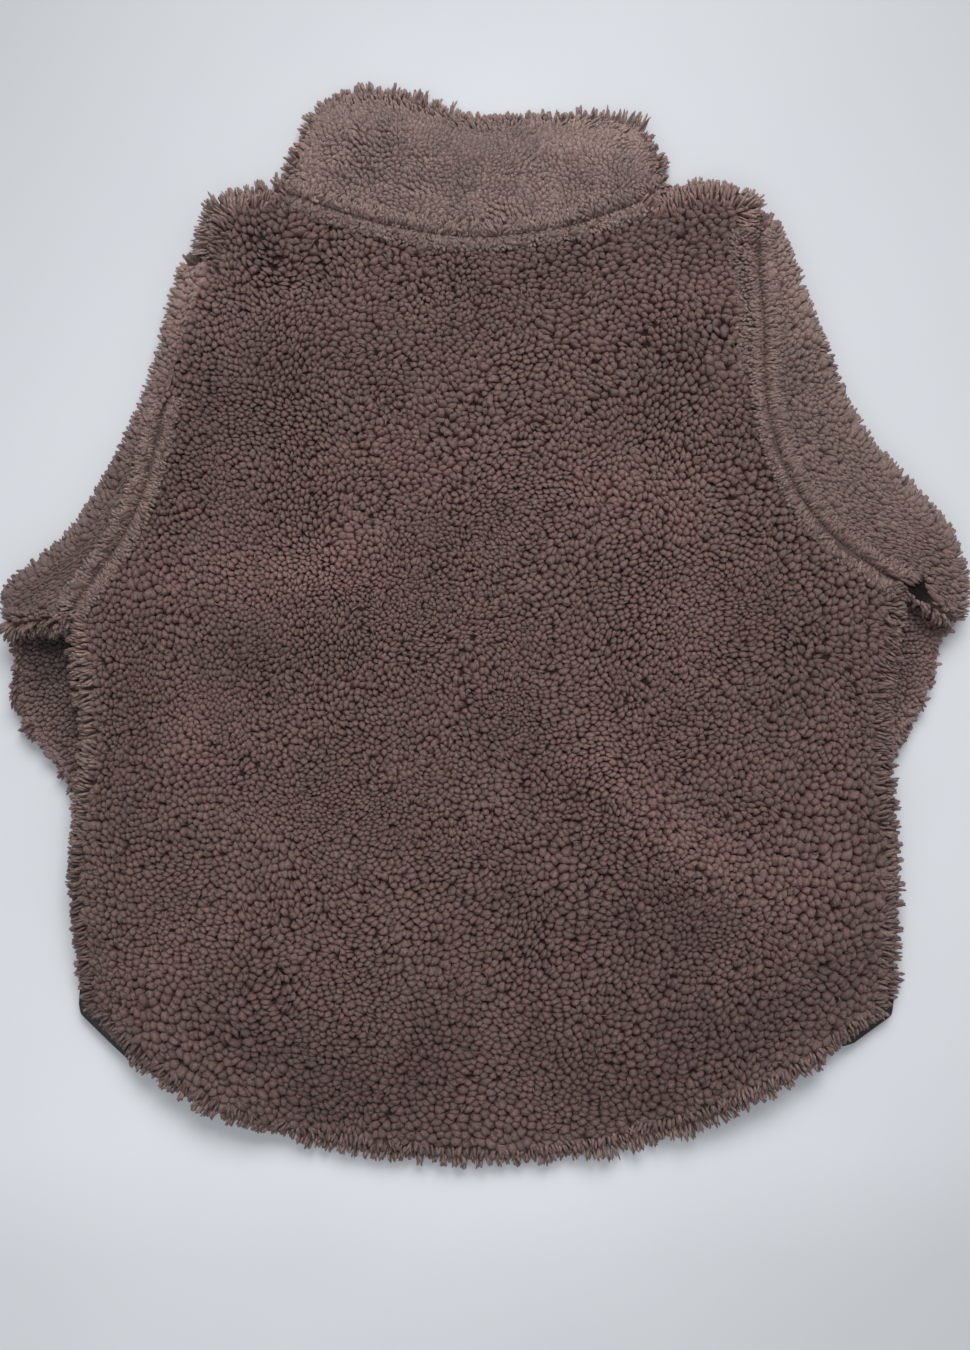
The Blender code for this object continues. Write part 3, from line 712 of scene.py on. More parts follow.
def locks(name, material, root, normal, way, length, radius, lean, curl, tone, worn, seed,
          rings=LOCK_RINGS, sides=6, rough=0.12, wide=(0.92, 1.25), deep=(0.78, 1.0), floor=0.12):
    """One joined mesh of curved, tapered locks of pile.

    Each starts at its root on the knit and leans by lean from normal towards way, by curl more at
    its tip. The mesh also holds how far along its lock a point is, and the lock's tone and wear."""
    rng = np.random.default_rng(seed)
    n = len(root)
    normal = unit(np.asarray(normal, float))
    way = np.asarray(way, float)
    way = unit(way - normal * (way * normal).sum(-1, keepdims=True))
    across = np.cross(way, normal)
    length, radius, lean, curl, tone, worn = (
        np.broadcast_to(np.asarray(v, float), (n,)) for v in (length, radius, lean, curl, tone, worn)
    )
    # none lies over the hollow under the right arm
    root = np.asarray(root, float)
    reach = root + way * (np.sin(np.clip(lean + 0.5 * curl, 0, 1.5)) * length)[:, None]
    over = (root[:, 0] > 0) & (root[:, 2] > UNDER_BODY) & (np.maximum(in_hollow(reach[:, :2]), in_hollow((reach + root)[:, :2] / 2)) > 0.12)
    root, normal, way, across, length, radius, lean, curl, tone, worn = (
        v[~over] for v in (root, normal, way, across, length, radius, lean, curl, tone, worn)
    )
    n = len(root)
    wide = rng.uniform(*wide, n) if isinstance(wide, tuple) else wide
    deep = rng.uniform(*deep, n) if isinstance(deep, tuple) else deep
    spin = rng.uniform(0, 2 * math.pi, n)
    offset = rng.uniform(0, 60, (n, 3))

    def bent(s):
        return lean * (0.55 + 0.45 * s) + curl * s

    def direction(s):
        t = bent(s)[:, None]
        return np.cos(t) * normal + np.sin(t) * way

    verts, along, fibre = [], [], []
    centre, last = root, 0.0
    for s, share in rings:
        for k in range(3 if s > last else 0):
            at = last + (s - last) * (k + 0.5) / 3
            centre = centre + direction(at) * ((s - last) / 3 * length)[:, None]
        last = s
        t = bent(s)[:, None]
        e2 = np.cos(t) * way - np.sin(t) * normal
        phi = spin[:, None] + np.arange(sides) * 2 * math.pi / sides
        r = (radius * share)[:, None] * (1 + rough * rng.uniform(-1, 1, (n, sides)))
        x, y = r * np.cos(phi) * wide[:, None], r * np.sin(phi) * deep[:, None]
        verts.append(centre[:, None] + x[..., None] * across[:, None] + y[..., None] * e2[:, None])
        along.append(np.full((n, sides), s))
        z = np.broadcast_to((s * length * 0.22)[:, None], x.shape)
        fibre.append(np.stack([x, y, z], -1) + offset[:, None])
    tip = centre + direction(1.0) * ((1 - last) * length)[:, None]
    verts.append(tip[:, None])
    along.append(np.ones((n, 1)))
    fibre.append((offset + np.stack([0 * length, 0 * length, 0.22 * length], -1))[:, None])
    verts, along, fibre = (np.concatenate(v, 1) for v in (verts, along, fibre))
    verts[..., 2] = np.maximum(verts[..., 2], floor)
    per = verts.shape[1]

    pattern = []
    for k in range(len(rings) - 1):
        for j in range(sides):
            a, b = k * sides + j, k * sides + (j + 1) % sides
            pattern += [(a, b, b + sides), (a, b + sides, a + sides)]
    for j in range(sides):
        k = len(rings) - 1
        pattern.append((k * sides + j, k * sides + (j + 1) % sides, per - 1))
    tris = np.array(pattern)[None] + (np.arange(n) * per)[:, None, None]
    return new_mesh(
        name,
        verts,
        tris,
        material,
        along=along.ravel(),
        tone=np.repeat(tone, per),
        worn=np.repeat(worn, per),
        fibre=fibre.reshape(-1, 3),
    )


def neighbours(points, count=6):
    """Indices of each plan point's nearest points, and how far away they are."""
    tree = kdtree.KDTree(len(points))
    for i, (x, y) in enumerate(points.tolist()):
        tree.insert((x, y, 0.0), i)
    tree.balance()
    found = [tree.find_n((x, y, 0.0), count + 1)[1:] for x, y in points.tolist()]
    return np.array([[f[1] for f in row] for row in found]), np.array([[f[2] for f in row] for row in found])


def cells(points, turn, ratio, rng, rounds=2, push=0.45, sides=7, cap=0.74):
    """Shares the plan out between the points: their places after they have moved apart, and each
    cell's outline as angles and distances. Cells are longer by ratio along the angle turn, which
    are functions of the place."""
    def squeezed(d, p):
        a, s = turn(p)[:, None], np.sqrt(ratio(p))[:, None]
        c, n = np.cos(a), np.sin(a)
        return np.stack([(d[..., 0] * c + d[..., 1] * n) / s, (d[..., 1] * c - d[..., 0] * n) * s], -1)

    for _ in range(rounds):
        index, _ = neighbours(points, 10)
        d = points[:, None] - points[index]
        away = np.linalg.norm(squeezed(d, points), axis=-1)
        gap = np.sort(away, 1)[:, :6].mean(1)
        gap = (gap + gap[index[:, :6]].sum(1)) / 7
        crowd = np.clip(1 - away / gap[:, None], 0, 1) * gap[:, None] / np.maximum(away, 1e-6)
        points = points + push * (d * crowd[..., None]).sum(1)
    n = len(points)
    index, plain = neighbours(points, 12)
    d = squeezed(points[index] - points[:, None], points)
    away = np.linalg.norm(d, axis=-1)
    gap = np.sort(away, 1)[:, :6].mean(1)
    weight = rng.uniform(0.72, 1.36, n)
    share = weight[:, None] / (weight[:, None] + weight[index])
    theta = rng.uniform(0, 2 * math.pi, (n, 1)) + (np.arange(sides) + rng.uniform(-0.24, 0.24, (n, sides))) * 2 * math.pi / sides
    ray = squeezed(np.stack([np.cos(theta), np.sin(theta)], -1), points)
    toward = np.einsum("nsi,nki->nsk", ray, d) / away[:, None]
    long = np.linalg.norm(ray, axis=-1)
    reach = np.where(toward > 0.08, (away * share)[:, None] / np.maximum(toward, 0.08), 99.0).min(-1)
    reach = np.minimum(reach, cap * gap[:, None] / long)
    return points, plain[:, :6].mean(1), theta, reach


COBBLE_RINGS = [
    # share of the height, share of the radius, share along the pile
    (0.00, 1.00, 0.05),
    (0.78, 0.84, 0.82),
]


def cobbles(name, material, theta, reach, root, normal, way, tall, tilt, tone, worn, seed, full=1.10,
            foot=0.05, rough=0.10, frame=None):
    """One joined mesh of low uneven domes of matted pile that meet in narrow creases.

    Each fills its cell of the plan, given by theta and reach; root is its foot on the knit, and its
    top is tall above that and moved by tilt towards way."""
    rng = np.random.default_rng(seed)
    n, sides = theta.shape
    normal = unit(np.asarray(normal, float))
    right, ahead = frame or (unit(np.array([1.0, 0, 0]) - normal * normal[:, :1]), None)
    ahead = np.cross(normal, right) if ahead is None else ahead
    way = unit(way - normal * (way * normal).sum(-1, keepdims=True))
    tall, tilt, tone, worn = (np.broadcast_to(np.asarray(v, float), (n,)) for v in (tall, tilt, tone, worn))
    offset = rng.uniform(0, 60, (n, 3))
    curl = rng.uniform(0, math.pi, (n, 1))
    c, s = np.cos(curl), np.sin(curl)
    verts, along, fibre = [], [], []
    for h, wide, level in COBBLE_RINGS:
        r = reach * full * wide * (1 + (rough if h > 0 else 0.02) * rng.uniform(-1, 1, (n, sides)))
        x, y = r * np.cos(theta), r * np.sin(theta)
        z = h * tall[:, None] * (1 + (0.16 if h > 0 else 0.0) * rng.uniform(-1, 1, (n, sides)))
        centre = root + way * (tilt * h)[:, None]
        verts.append(centre[:, None] + x[..., None] * right[:, None] + y[..., None] * ahead[:, None] + z[..., None] * normal[:, None])
        # along sets the painted shade at each dome's foot and the painted highlight at its top; it is at least foot
        along.append(np.full((n, sides), max(level, foot)))
        fibre.append(np.stack([x * c + y * s, (y * c - x * s) * 0.42, z * 0.8], -1) + offset[:, None])
    tip = root + normal * tall[:, None] + way * (1.15 * tilt)[:, None]
    verts.append(tip[:, None])
    along.append(np.ones((n, 1)))
    fibre.append((offset + np.column_stack([0 * tall, 0 * tall, tall]))[:, None])
    verts, along, fibre = (np.concatenate(v, 1) for v in (verts, along, fibre))
    per = verts.shape[1]
    pattern = []
    for k in range(len(COBBLE_RINGS) - 1):
        for j in range(sides):
            a, b = k * sides + j, k * sides + (j + 1) % sides
            pattern += [(a, b, b + sides), (a, b + sides, a + sides)]
    k = (len(COBBLE_RINGS) - 1) * sides
    pattern += [(k + j, k + (j + 1) % sides, per - 1) for j in range(sides)]
    tris = np.array(pattern)[None] + (np.arange(n) * per)[:, None, None]
    turned = np.einsum("ij,ij->i", np.cross(right, ahead), normal) < 0
    tris[turned] = tris[turned][:, :, ::-1]
    return new_mesh(name, verts, tris, material, along=along.ravel(), tone=np.repeat(tone, per),
                    worn=np.repeat(worn, per), fibre=fibre.reshape(-1, 3))


def stretch(points, count=6):
    """The direction in which each point's neighbours lie furthest apart, and by how much."""
    index, _ = neighbours(points, count)
    d = points[index] - points[:, None]
    values, vectors = np.linalg.eigh(np.einsum("nki,nkj->nij", d, d) / count)
    ratio = np.sqrt(values[:, 1] / np.maximum(values[:, 0], 1e-6))
    return vectors[:, :, 1], np.clip(ratio, 1.0, 2.2)


def settle(points, rounds=3, push=0.42):
    """Moves points off the ones that crowd them, and gives the spacing round each."""
    for _ in range(rounds):
        index, away = neighbours(points)
        gap = away.mean(1)
        gap = (gap + gap[index].sum(1)) / (index.shape[1] + 1)
        crowd = np.clip(1 - away / gap[:, None], 0, 1) * gap[:, None] / np.maximum(away, 1e-6)
        points = points + push * ((points[:, None] - points[index]) * crowd[..., None]).sum(1)
    _, away = neighbours(points)
    return points, away.mean(1)


def lattice(box, step, seed, jitter=0.2, centre=None, spread=0.0, reach=300.0, swirl=9.0, rounds=3):
    """Plan points in uneven rows, and the spacing of the rows at each of them.

    The rows are those of a hexagonal grid, opened out by spread at reach from centre, and bent
    by low noise so that they run in swirls."""
    rng = np.random.default_rng(seed)
    x0, y0, x1, y1 = box
    margin = 60
    xs = np.arange(x0 - margin, x1 + margin, step)
    ys = np.arange(y0 - margin, y1 + margin, step * 0.866)
    gx, gy = np.meshgrid(xs, ys)
    gx = gx + (np.arange(len(ys)) % 2)[:, None] * step / 2
    flat = np.stack([gx.ravel(), gy.ravel()], -1)
    flat += rng.uniform(-jitter, jitter, flat.shape) * step

    def bend(p):
        x, y = p[:, 0], p[:, 1]
        q = p.copy()
        if centre is not None:
            d = p - centre
            q = centre + d * (1 + spread * (d**2).sum(-1, keepdims=True) / reach**2)
        q[:, 0] += swirl * noise(x, y, 74, seed + 1) + 0.30 * swirl * noise(x, y, 27, seed + 2)
        q[:, 1] += swirl * noise(x, y, 66, seed + 3) + 0.30 * swirl * noise(x, y, 31, seed + 4)
        return q

    q = bend(flat)
    keep = (q[:, 0] > x0 - 9) & (q[:, 0] < x1 + 9) & (q[:, 1] > y0 - 9) & (q[:, 1] < y1 + 9)
    q, gap = settle(q[keep], rounds)
    keep = (q[:, 0] > x0) & (q[:, 0] < x1) & (q[:, 1] > y0) & (q[:, 1] < y1)
    return q[keep], gap[keep]


def slopes(height, points, *rest):
    """The surface's upward normals, by small steps."""
    h = 0.7
    dx = (height(points + [h, 0]) - height(points - [h, 0])) / (2 * h)
    dy = (height(points + [0, h]) - height(points - [0, h])) / (2 * h)
    return unit(np.stack([-dx, -dy, np.ones_like(dx)], -1))


def away_from(points, lines, step=1.0):
    """Unit plan vectors that point away from the nearest of the lines."""
    def near(p):
        return np.min([distance_line(p, line) for line in lines], axis=0)

    gx = near(points + [step, 0]) - near(points - [step, 0])
    gy = near(points + [0, step]) - near(points - [0, step])
    return unit(np.stack([gx, gy], -1) + 1e-9)


# Each lock's tone: low noise and random steps, plus the patches of painted light and shade.
def tone_and_painted_light_at(points, rng):
    tone = 0.5 + 0.16 * noise(points[:, 0], points[:, 1], 60, 41)
    tone += 0.10 * noise(points[:, 0], points[:, 1], 23, 42)
    for _, x, y, turn, half_long, half_wide, step in LIT_AND_SHADED_PATCHES:
        c, s = math.cos(math.radians(turn)), math.sin(math.radians(turn))
        dx, dy = points[:, 0] - x, points[:, 1] - y
        tone += step * np.exp(-(((dx * c + dy * s) / half_long) ** 2) - ((dy * c - dx * s) / half_wide) ** 2)
    return tone + rng.uniform(-0.24, 0.24, len(points))


# ---------------------------------------------------------------- materials
def shader_of(name, roughness=0.9, sheen=0.0, sheen_rough=0.5, sheen_tint=(1, 1, 1), specular=0.2):
    material = bpy.data.materials.new(name)
    material.use_nodes = True
    tree = material.node_tree
    shader = tree.nodes["Principled BSDF"]
    shader.inputs["Roughness"].default_value = roughness
    shader.inputs["Sheen Weight"].default_value = sheen
    shader.inputs["Sheen Roughness"].default_value = sheen_rough
    shader.inputs["Sheen Tint"].default_value = (*sheen_tint, 1)
    shader.inputs["Specular IOR Level"].default_value = specular
    return material, tree, shader


def node(tree, kind, inputs=None, **settings):
    made = tree.nodes.new(kind)
    for key, value in settings.items():
        setattr(made, key, value)
    for key, value in (inputs or {}).items():
        if isinstance(value, bpy.types.NodeSocket):
            tree.links.new(value, made.inputs[key])
        else:
            made.inputs[key].default_value = value
    return made


def ramp(tree, value, stops, smooth=False):
    made = node(tree, "ShaderNodeValToRGB", {"Fac": value})
    elements = made.color_ramp.elements
    while len(elements) < len(stops):
        elements.new(0.5)
    for element, (at, colour) in zip(elements, stops, strict=True):
        element.position = at
        element.color = (*colour, 1)
    if smooth:
        made.color_ramp.interpolation = "EASE"
    return made.outputs["Color"]


def mixed(tree, factor, a, b, blend="MIX"):
    made = node(tree, "ShaderNodeMix", {"Factor": factor}, data_type="RGBA", blend_type=blend)
    for key, value in (("A", a), ("B", b)):
        socket = [s for s in made.inputs if s.name == key and s.type == "RGBA"][0]
        if isinstance(value, bpy.types.NodeSocket):
            tree.links.new(value, socket)
        else:
            socket.default_value = (*value, 1)
    return [s for s in made.outputs if s.type == "RGBA"][0]


def maths(tree, operation, a, b=0.0, c=0.0):
    made = node(tree, "ShaderNodeMath", operation=operation)
    for socket, value in zip(made.inputs, (a, b, c), strict=False):
        if isinstance(value, bpy.types.NodeSocket):
            tree.links.new(value, socket)
        else:
            socket.default_value = value
    return made.outputs[0]


def pile_material(name, dark, tops, shaft, tips, sheen):
    """Pile seen from its tips (painted shade dark at the roots, tops on top, and a painted highlight at the very tips)
    and, where worn is 1, from its side (shaft, a little darker at the root with painted shade, with darker tips)."""
    material, tree, shader = shader_of(
        name, 0.37, sheen=sheen, sheen_rough=0.45, sheen_tint=(0.95, 0.90, 0.88), specular=0.60
    )
    along = node(tree, "ShaderNodeAttribute", attribute_name="along").outputs["Fac"]
    tone = node(tree, "ShaderNodeAttribute", attribute_name="tone").outputs["Fac"]
    worn = node(tree, "ShaderNodeAttribute", attribute_name="worn").outputs["Fac"]
    fibre = node(tree, "ShaderNodeAttribute", attribute_name="fibre").outputs["Vector"]
    place = node(tree, "ShaderNodeTexCoord").outputs["Object"]

    dark, tops, shaft, tips = (np.array(c) for c in (dark, tops, shaft, tips))
    # painted shade and highlight: darker and redder down in the creases where the nubs shade each other, lighter and
    # greyer at the tips as if lit
    above = ramp(tree, along, [
        (0.0, tuple(dark * (1.5, 1.0, 1.0))), (0.42, tuple((dark * 0.60 + tops * 0.40) * (1.40, 0.96, 0.96))),
        (0.68, tuple(tops * (0.80, 0.62, 0.62))), (0.84, tuple(tops * (1.07, 1.03, 1.04))), (1.0, tuple(tops * (1.38, 1.52, 1.58))),
    ])
    # from the side: a little darker at the root, painted shade among the strands
    beside = ramp(tree, along, [(0.0, tuple(shaft * 0.70)), (0.26, tuple(shaft * 0.95)), (0.72, tuple(shaft)), (1.0, tuple(tips))])
    colour = mixed(tree, worn, above, beside)

    # fine fibres along each lock, their light streaks partly painted highlights on the curls
    fine = node(tree, "ShaderNodeTexNoise", {"Vector": fibre, "Scale": 1.35, "Detail": 3.0, "Roughness": 0.62})
    fine = fine.outputs["Fac"]
    shade = node(tree, "ShaderNodeMapRange", {"Value": fine, "From Min": 0.32, "From Max": 0.68, "To Min": 0.50, "To Max": 1.64})
    colour = mixed(tree, 1.0, colour, node(tree, "ShaderNodeCombineColor", {"Red": shade.outputs[0], "Green": shade.outputs[0], "Blue": shade.outputs[0]}).outputs[0], "MULTIPLY")
    # each lock's own tone
    shade = node(tree, "ShaderNodeMapRange", {"Value": tone, "From Min": -0.9, "From Max": 1.7, "To Min": 0.16, "To Max": 1.72})
    colour = mixed(tree, 1.0, colour, node(tree, "ShaderNodeCombineColor", {"Red": shade.outputs[0], "Green": shade.outputs[0], "Blue": shade.outputs[0]}).outputs[0], "MULTIPLY")
    # faint warmer and cooler patches
    patch = node(tree, "ShaderNodeTexNoise", {"Vector": place, "Scale": 11.0, "Detail": 1.5}).outputs["Fac"]
    warm = ramp(tree, patch, [(0.36, (1.0, 1.012, 0.975)), (0.5, (1.0, 1.0, 1.0)), (0.68, (1.015, 0.992, 1.0))])
    colour = mixed(tree, 1.0, colour, warm, "MULTIPLY")
    tree.links.new(colour, shader.inputs["Base Color"])

    bump = node(tree, "ShaderNodeBump", {"Height": fine, "Strength": 0.85, "Distance": 0.0013})
    tree.links.new(bump.outputs["Normal"], shader.inputs["Normal"])
    return material


def knit_material(name, colour):
    """The backing's fine knit: rows of small loops."""
    material, tree, shader = shader_of(name, 0.9, sheen=0.15, specular=0.1)
    place = node(tree, "ShaderNodeTexCoord").outputs["Object"]
    rows = node(tree, "ShaderNodeTexWave", {"Vector": place, "Scale": 260.0, "Distortion": 1.2, "Detail": 1.0, "Detail Scale": 3.0}, bands_direction="X").outputs["Fac"]
    courses = node(tree, "ShaderNodeTexWave", {"Vector": place, "Scale": 330.0, "Distortion": 0.8}, bands_direction="Y").outputs["Fac"]
    loops = maths(tree, "MULTIPLY", rows, courses)
    base = ramp(tree, loops, [(0.0, tuple(np.array(colour) * 0.55)), (0.7, colour), (1.0, tuple(np.array(colour) * 1.3))])
    matted = node(tree, "ShaderNodeAttribute", attribute_name="matted").outputs["Fac"]
    fuzz = node(tree, "ShaderNodeTexNoise", {"Vector": place, "Scale": 700.0, "Detail": 2.0}).outputs["Fac"]
    base = mixed(tree, matted, base, ramp(tree, fuzz, [(0.3, (0.070, 0.042, 0.037)), (0.7, (0.125, 0.080, 0.070))]))
    # painted shade: the hollow attribute turns the knit near black in the hollows under the arms, which lie in shadow
    hollow = node(tree, "ShaderNodeAttribute", attribute_name="hollow").outputs["Fac"]
    tree.links.new(mixed(tree, hollow, base, (0.006, 0.004, 0.004)), shader.inputs["Base Color"])
    bump = node(tree, "ShaderNodeBump", {"Height": loops, "Strength": 0.6, "Distance": 0.0005})
    tree.links.new(bump.outputs["Normal"], shader.inputs["Normal"])
    return material


def binding_material(name):
    """Smooth near-black tape with a fine rib and a low satin shine."""
    material, tree, shader = shader_of(name, 0.42, sheen=0.1, specular=0.4)
    place = node(tree, "ShaderNodeTexCoord").outputs["Object"]
    grain = node(tree, "ShaderNodeTexNoise", {"Vector": place, "Scale": 900.0, "Detail": 2.0}).outputs["Fac"]
    tree.links.new(ramp(tree, grain, [(0.3, (0.010, 0.008, 0.008)), (0.7, (0.024, 0.018, 0.018))]), shader.inputs["Base Color"])
    bump = node(tree, "ShaderNodeBump", {"Height": grain, "Strength": 0.3, "Distance": 0.0002})
    tree.links.new(bump.outputs["Normal"], shader.inputs["Normal"])
    return material


def zip_material(name, colour, roughness):
    material, tree, shader = shader_of(name, roughness, specular=0.45)
    place = node(tree, "ShaderNodeTexCoord").outputs["Object"]
    weave = node(tree, "ShaderNodeTexWave", {"Vector": place, "Scale": 420.0, "Distortion": 0.4}, bands_direction="Y").outputs["Fac"]
    tree.links.new(ramp(tree, weave, [(0.0, tuple(np.array(colour) * 0.6)), (1.0, colour)]), shader.inputs["Base Color"])
    bump = node(tree, "ShaderNodeBump", {"Height": weave, "Strength": 0.4, "Distance": 0.0002})
    tree.links.new(bump.outputs["Normal"], shader.inputs["Normal"])
    return material


def floor_material():
    """A plain painted board with painted shade: a little darker away from the middle, at two of its corners and towards
    the top; and painted light that leaves it lighter in a band just below the jacket's hem, where its shadow falls.
    """
    material, tree, shader = shader_of("pale_board", 0.6, specular=0.25)
    place = node(tree, "ShaderNodeTexCoord").outputs["Object"]
    cloud = node(tree, "ShaderNodeTexNoise", {"Vector": place, "Scale": 5.0, "Detail": 3.0}).outputs["Fac"]
    base = ramp(tree, cloud, [(0.3, (0.780, 0.800, 0.831)), (0.7, (0.805, 0.826, 0.856))])
    # painted shade: darker away from the middle, where the light falls off
    size = node(tree, "ShaderNodeVectorMath", {0: place, 1: (1.9, 1.35, 0.0)}, operation="MULTIPLY")
    away = node(tree, "ShaderNodeVectorMath", {0: size.outputs[0]}, operation="LENGTH").outputs["Value"]
    far = ramp(tree, away, [(0.0, (1.0, 1.0, 1.0)), (0.55, (1.0, 1.0, 1.0)), (0.95, (0.88, 0.88, 0.88))])
    colour = mixed(tree, 1.0, base, far, "MULTIPLY")
    # painted shade at two of the corners
    slant = node(tree, "ShaderNodeVectorMath", {0: place, 1: (-0.62, 0.78, 0.0)}, operation="DOT_PRODUCT").outputs["Value"]
    corner = ramp(tree, maths(tree, "MULTIPLY_ADD", slant, 0.9, 0.5), [(0.02, (0.88, 0.88, 0.88)), (0.22, (1.0, 1.0, 1.0)), (0.74, (1.0, 1.0, 1.0)), (0.98, (0.84, 0.84, 0.84))])
    colour = mixed(tree, 1.0, colour, corner, "MULTIPLY")
    slant = node(tree, "ShaderNodeVectorMath", {0: place, 1: (0.62, 0.78, 0.0)}, operation="DOT_PRODUCT").outputs["Value"]
    corner = ramp(tree, maths(tree, "MULTIPLY_ADD", slant, 0.9, 0.5), [(0.74, (1.0, 1.0, 1.0)), (1.0, (0.86, 0.86, 0.86))])
    colour = mixed(tree, 1.0, colour, corner, "MULTIPLY")
    # painted light and shade along y: darker towards the top and the bottom edge, lighter in a band just below the hem,
    # where the jacket's shadow falls
    level = node(tree, "ShaderNodeVectorMath", {0: place, 1: (0.0, 1.0, 0.0)}, operation="DOT_PRODUCT").outputs["Value"]
    low = ramp(tree, maths(tree, "MULTIPLY_ADD", level, 1.0, 0.5), [(0.06, (0.92, 0.92, 0.92)), (0.14, (1.0, 1.0, 1.0)), (0.40, (0.90, 0.90, 0.90)), (0.62, (0.862, 0.862, 0.862))])
    colour = mixed(tree, 1.0, colour, low, "MULTIPLY")
    tree.links.new(colour, shader.inputs["Base Color"])
    return material


# each pile's first colour is the painted shade down in the creases between the nubs
pile_body = pile_material("pile_body", (0.026, 0.0115, 0.0095), (0.1208, 0.0642, 0.0543), (0.182, 0.117, 0.101), (0.124, 0.080, 0.070), 0.12)
pile_sleeve = pile_material("pile_sleeve", (0.034, 0.018, 0.016), (0.1425, 0.0845, 0.0740), (0.211, 0.138, 0.119), (0.146, 0.096, 0.084), 0.14)
# painted light: the collar's copy of the pile is lighter, as the collar and the shoulders' top edge tilt towards the
# light
pile_collar = pile_material("pile_collar", (0.066, 0.038, 0.034), (0.195, 0.1225, 0.1090), (0.250, 0.168, 0.146), (0.176, 0.120, 0.104), 0.16)
knit_brown = knit_material("knit_back", (0.046, 0.025, 0.022))
binding_black = binding_material("binding_tape")
zip_tape = zip_material("zip_tape", (0.035, 0.025, 0.023), 0.75)
zip_teeth = zip_material("zip_teeth", (0.05, 0.037, 0.034), 0.35)


# ---------------------------------------------------------------- the body
def body_rows_columns(count, start=0.0, end=1.0):
    """Even shares, with a few more close to each end for the turned edge."""
    close = np.array([0.0, 0.0025, 0.0065, 0.012])
    middle = np.linspace(start, end, count)[1:-1]
    middle = middle[(middle > start + 0.016) & (middle < end - 0.016)]
    return np.r_[start + close, middle, (end - close)[::-1]]


half = ZIP_HALF / 547.0
grid_up = body_rows_columns(84)
grid_across = body_rows_columns(72)
plan = body_point(*np.meshgrid(grid_across, grid_up))
free, seam = edge_distances(plan)
high = back_knit(plan, free, seam)
back_cloth = new_mesh(
    "back_cloth", *wall(np.dstack([plan, high - KNIT_THICK]), np.dstack([plan, high])), knit_brown,
    # hollow: painted shade, near black in the hollows under the arms
    hollow=np.tile(hollow_shade(plan).ravel(), 2),
    matted=np.tile(np.clip(np.exp(-((free / 11.0) ** 2)) + np.exp(-((seam / 8.0) ** 2)) * seam_weight(plan.reshape(-1, 2)).reshape(seam.shape), 0, 1).ravel(), 2),
)
for side, start, end in (("left", 0.0, 0.5 - half), ("right", 0.5 + half, 1.0)):
    plan = front_point(*np.meshgrid(body_rows_columns(24, start, end), body_rows_columns(48)))
    low = front_knit(plan)
    new_mesh(
        f"front_{side}_cloth", *wall(np.dstack([plan, low]), np.dstack([plan, low + KNIT_THICK])), knit_brown
    )

# locks of the back
BROAD = ("right", 192.0, 15.0)  # above this height the right armhole's inner side is brushed flat


def band_at(points):
    """Width of the band along the body's free edges where the pile is combed out flat."""
    x, y = points[:, 0], points[:, 1]
    band = 10.5 + 2.0 * noise(x, y, 22, 91)
    band = band + 2.0 * (x < -200) * ease((12 - y) / 14) * ease((y + 138) / 26)  # left side
    band = band + 3.0 * (x > 200) * ease((24 - y) / 14) * ease((y + 150) / 30)
    band = band + (4.5 + 2.0 * (x > 100) - 2.5 * (x < -100)) * ease((y - 250) / 12) + 0.5 * ease((y - 235) / 12) * (x < -150)
    return band - 1.2 * (y < -290)


def brushed(points, seam):
    """Where a seam's smooth bands take the place of the nubs."""
    wide = 4.4 + 1.2 * noise(points[:, 0], points[:, 1], 20, 92)
    broad = (points[:, 0] > 150) & (points[:, 1] > 150)
    wide = wide + broad * (BROAD[2] - 4.0) * ease((points[:, 1] - BROAD[1] + 20) / 40)
    return seam < np.where(seam_weight(points) > 0.5, wide, 0.8)


def lay(points):
    """The way that the back's pile lies: outwards from the middle, in swirls."""
    x, y = points[:, 0], points[:, 1]
    way = np.stack([x / 240, (y - 40) / 480 - 0.16], -1)
    way = way + 0.80 * np.stack([noise(x, y, 52, 21), noise(x, y, 52, 22)], -1)
    return way + 0.85 * np.stack([noise(x, y, 17, 23), noise(x, y, 17, 24)], -1)


def lay_across(points):
    way = lay(points)
    return np.arctan2(way[:, 1], way[:, 0]) + math.pi / 2


points, gap = lattice((-300, -380, 303, 314), 3.95, 100, jitter=0.5, centre=np.array([-60.0, 20.0]), spread=0.21, swirl=11.0, rounds=0)
points, gap, theta, reach = cells(
    points, lay_across, lambda p: 1.7 + 0.4 * noise(p[:, 0], p[:, 1], 24, 29), np.random.default_rng(6), rounds=1
)
inside = is_inside(points, BODY_OUTLINE)
points, gap, theta, reach = points[inside], gap[inside], theta[inside], reach[inside]
free, seam = edge_distances(points)
band = band_at(points)
keep = (in_hollow(points) <= 0.0) & (free > band * 0.72) & ~brushed(points, seam)
points, gap, theta, reach, free, seam = points[keep], gap[keep], theta[keep], reach[keep], free[keep], seam[keep]
plain = seam_weight(points)
rng = np.random.default_rng(7)
count = len(points)
x, y = points[:, 0], points[:, 1]
lift = 0.40 * noise(x, y, 9.0, 27) + rng.normal(0, 0.24, count)
root = np.column_stack([points, back_knit(points, free, seam) + lift])
up = slopes(back_knit, points)
near_free = np.exp(-((free / 15.0) ** 2))
near_seam = np.exp(-((seam / 8.5) ** 2)) * plain
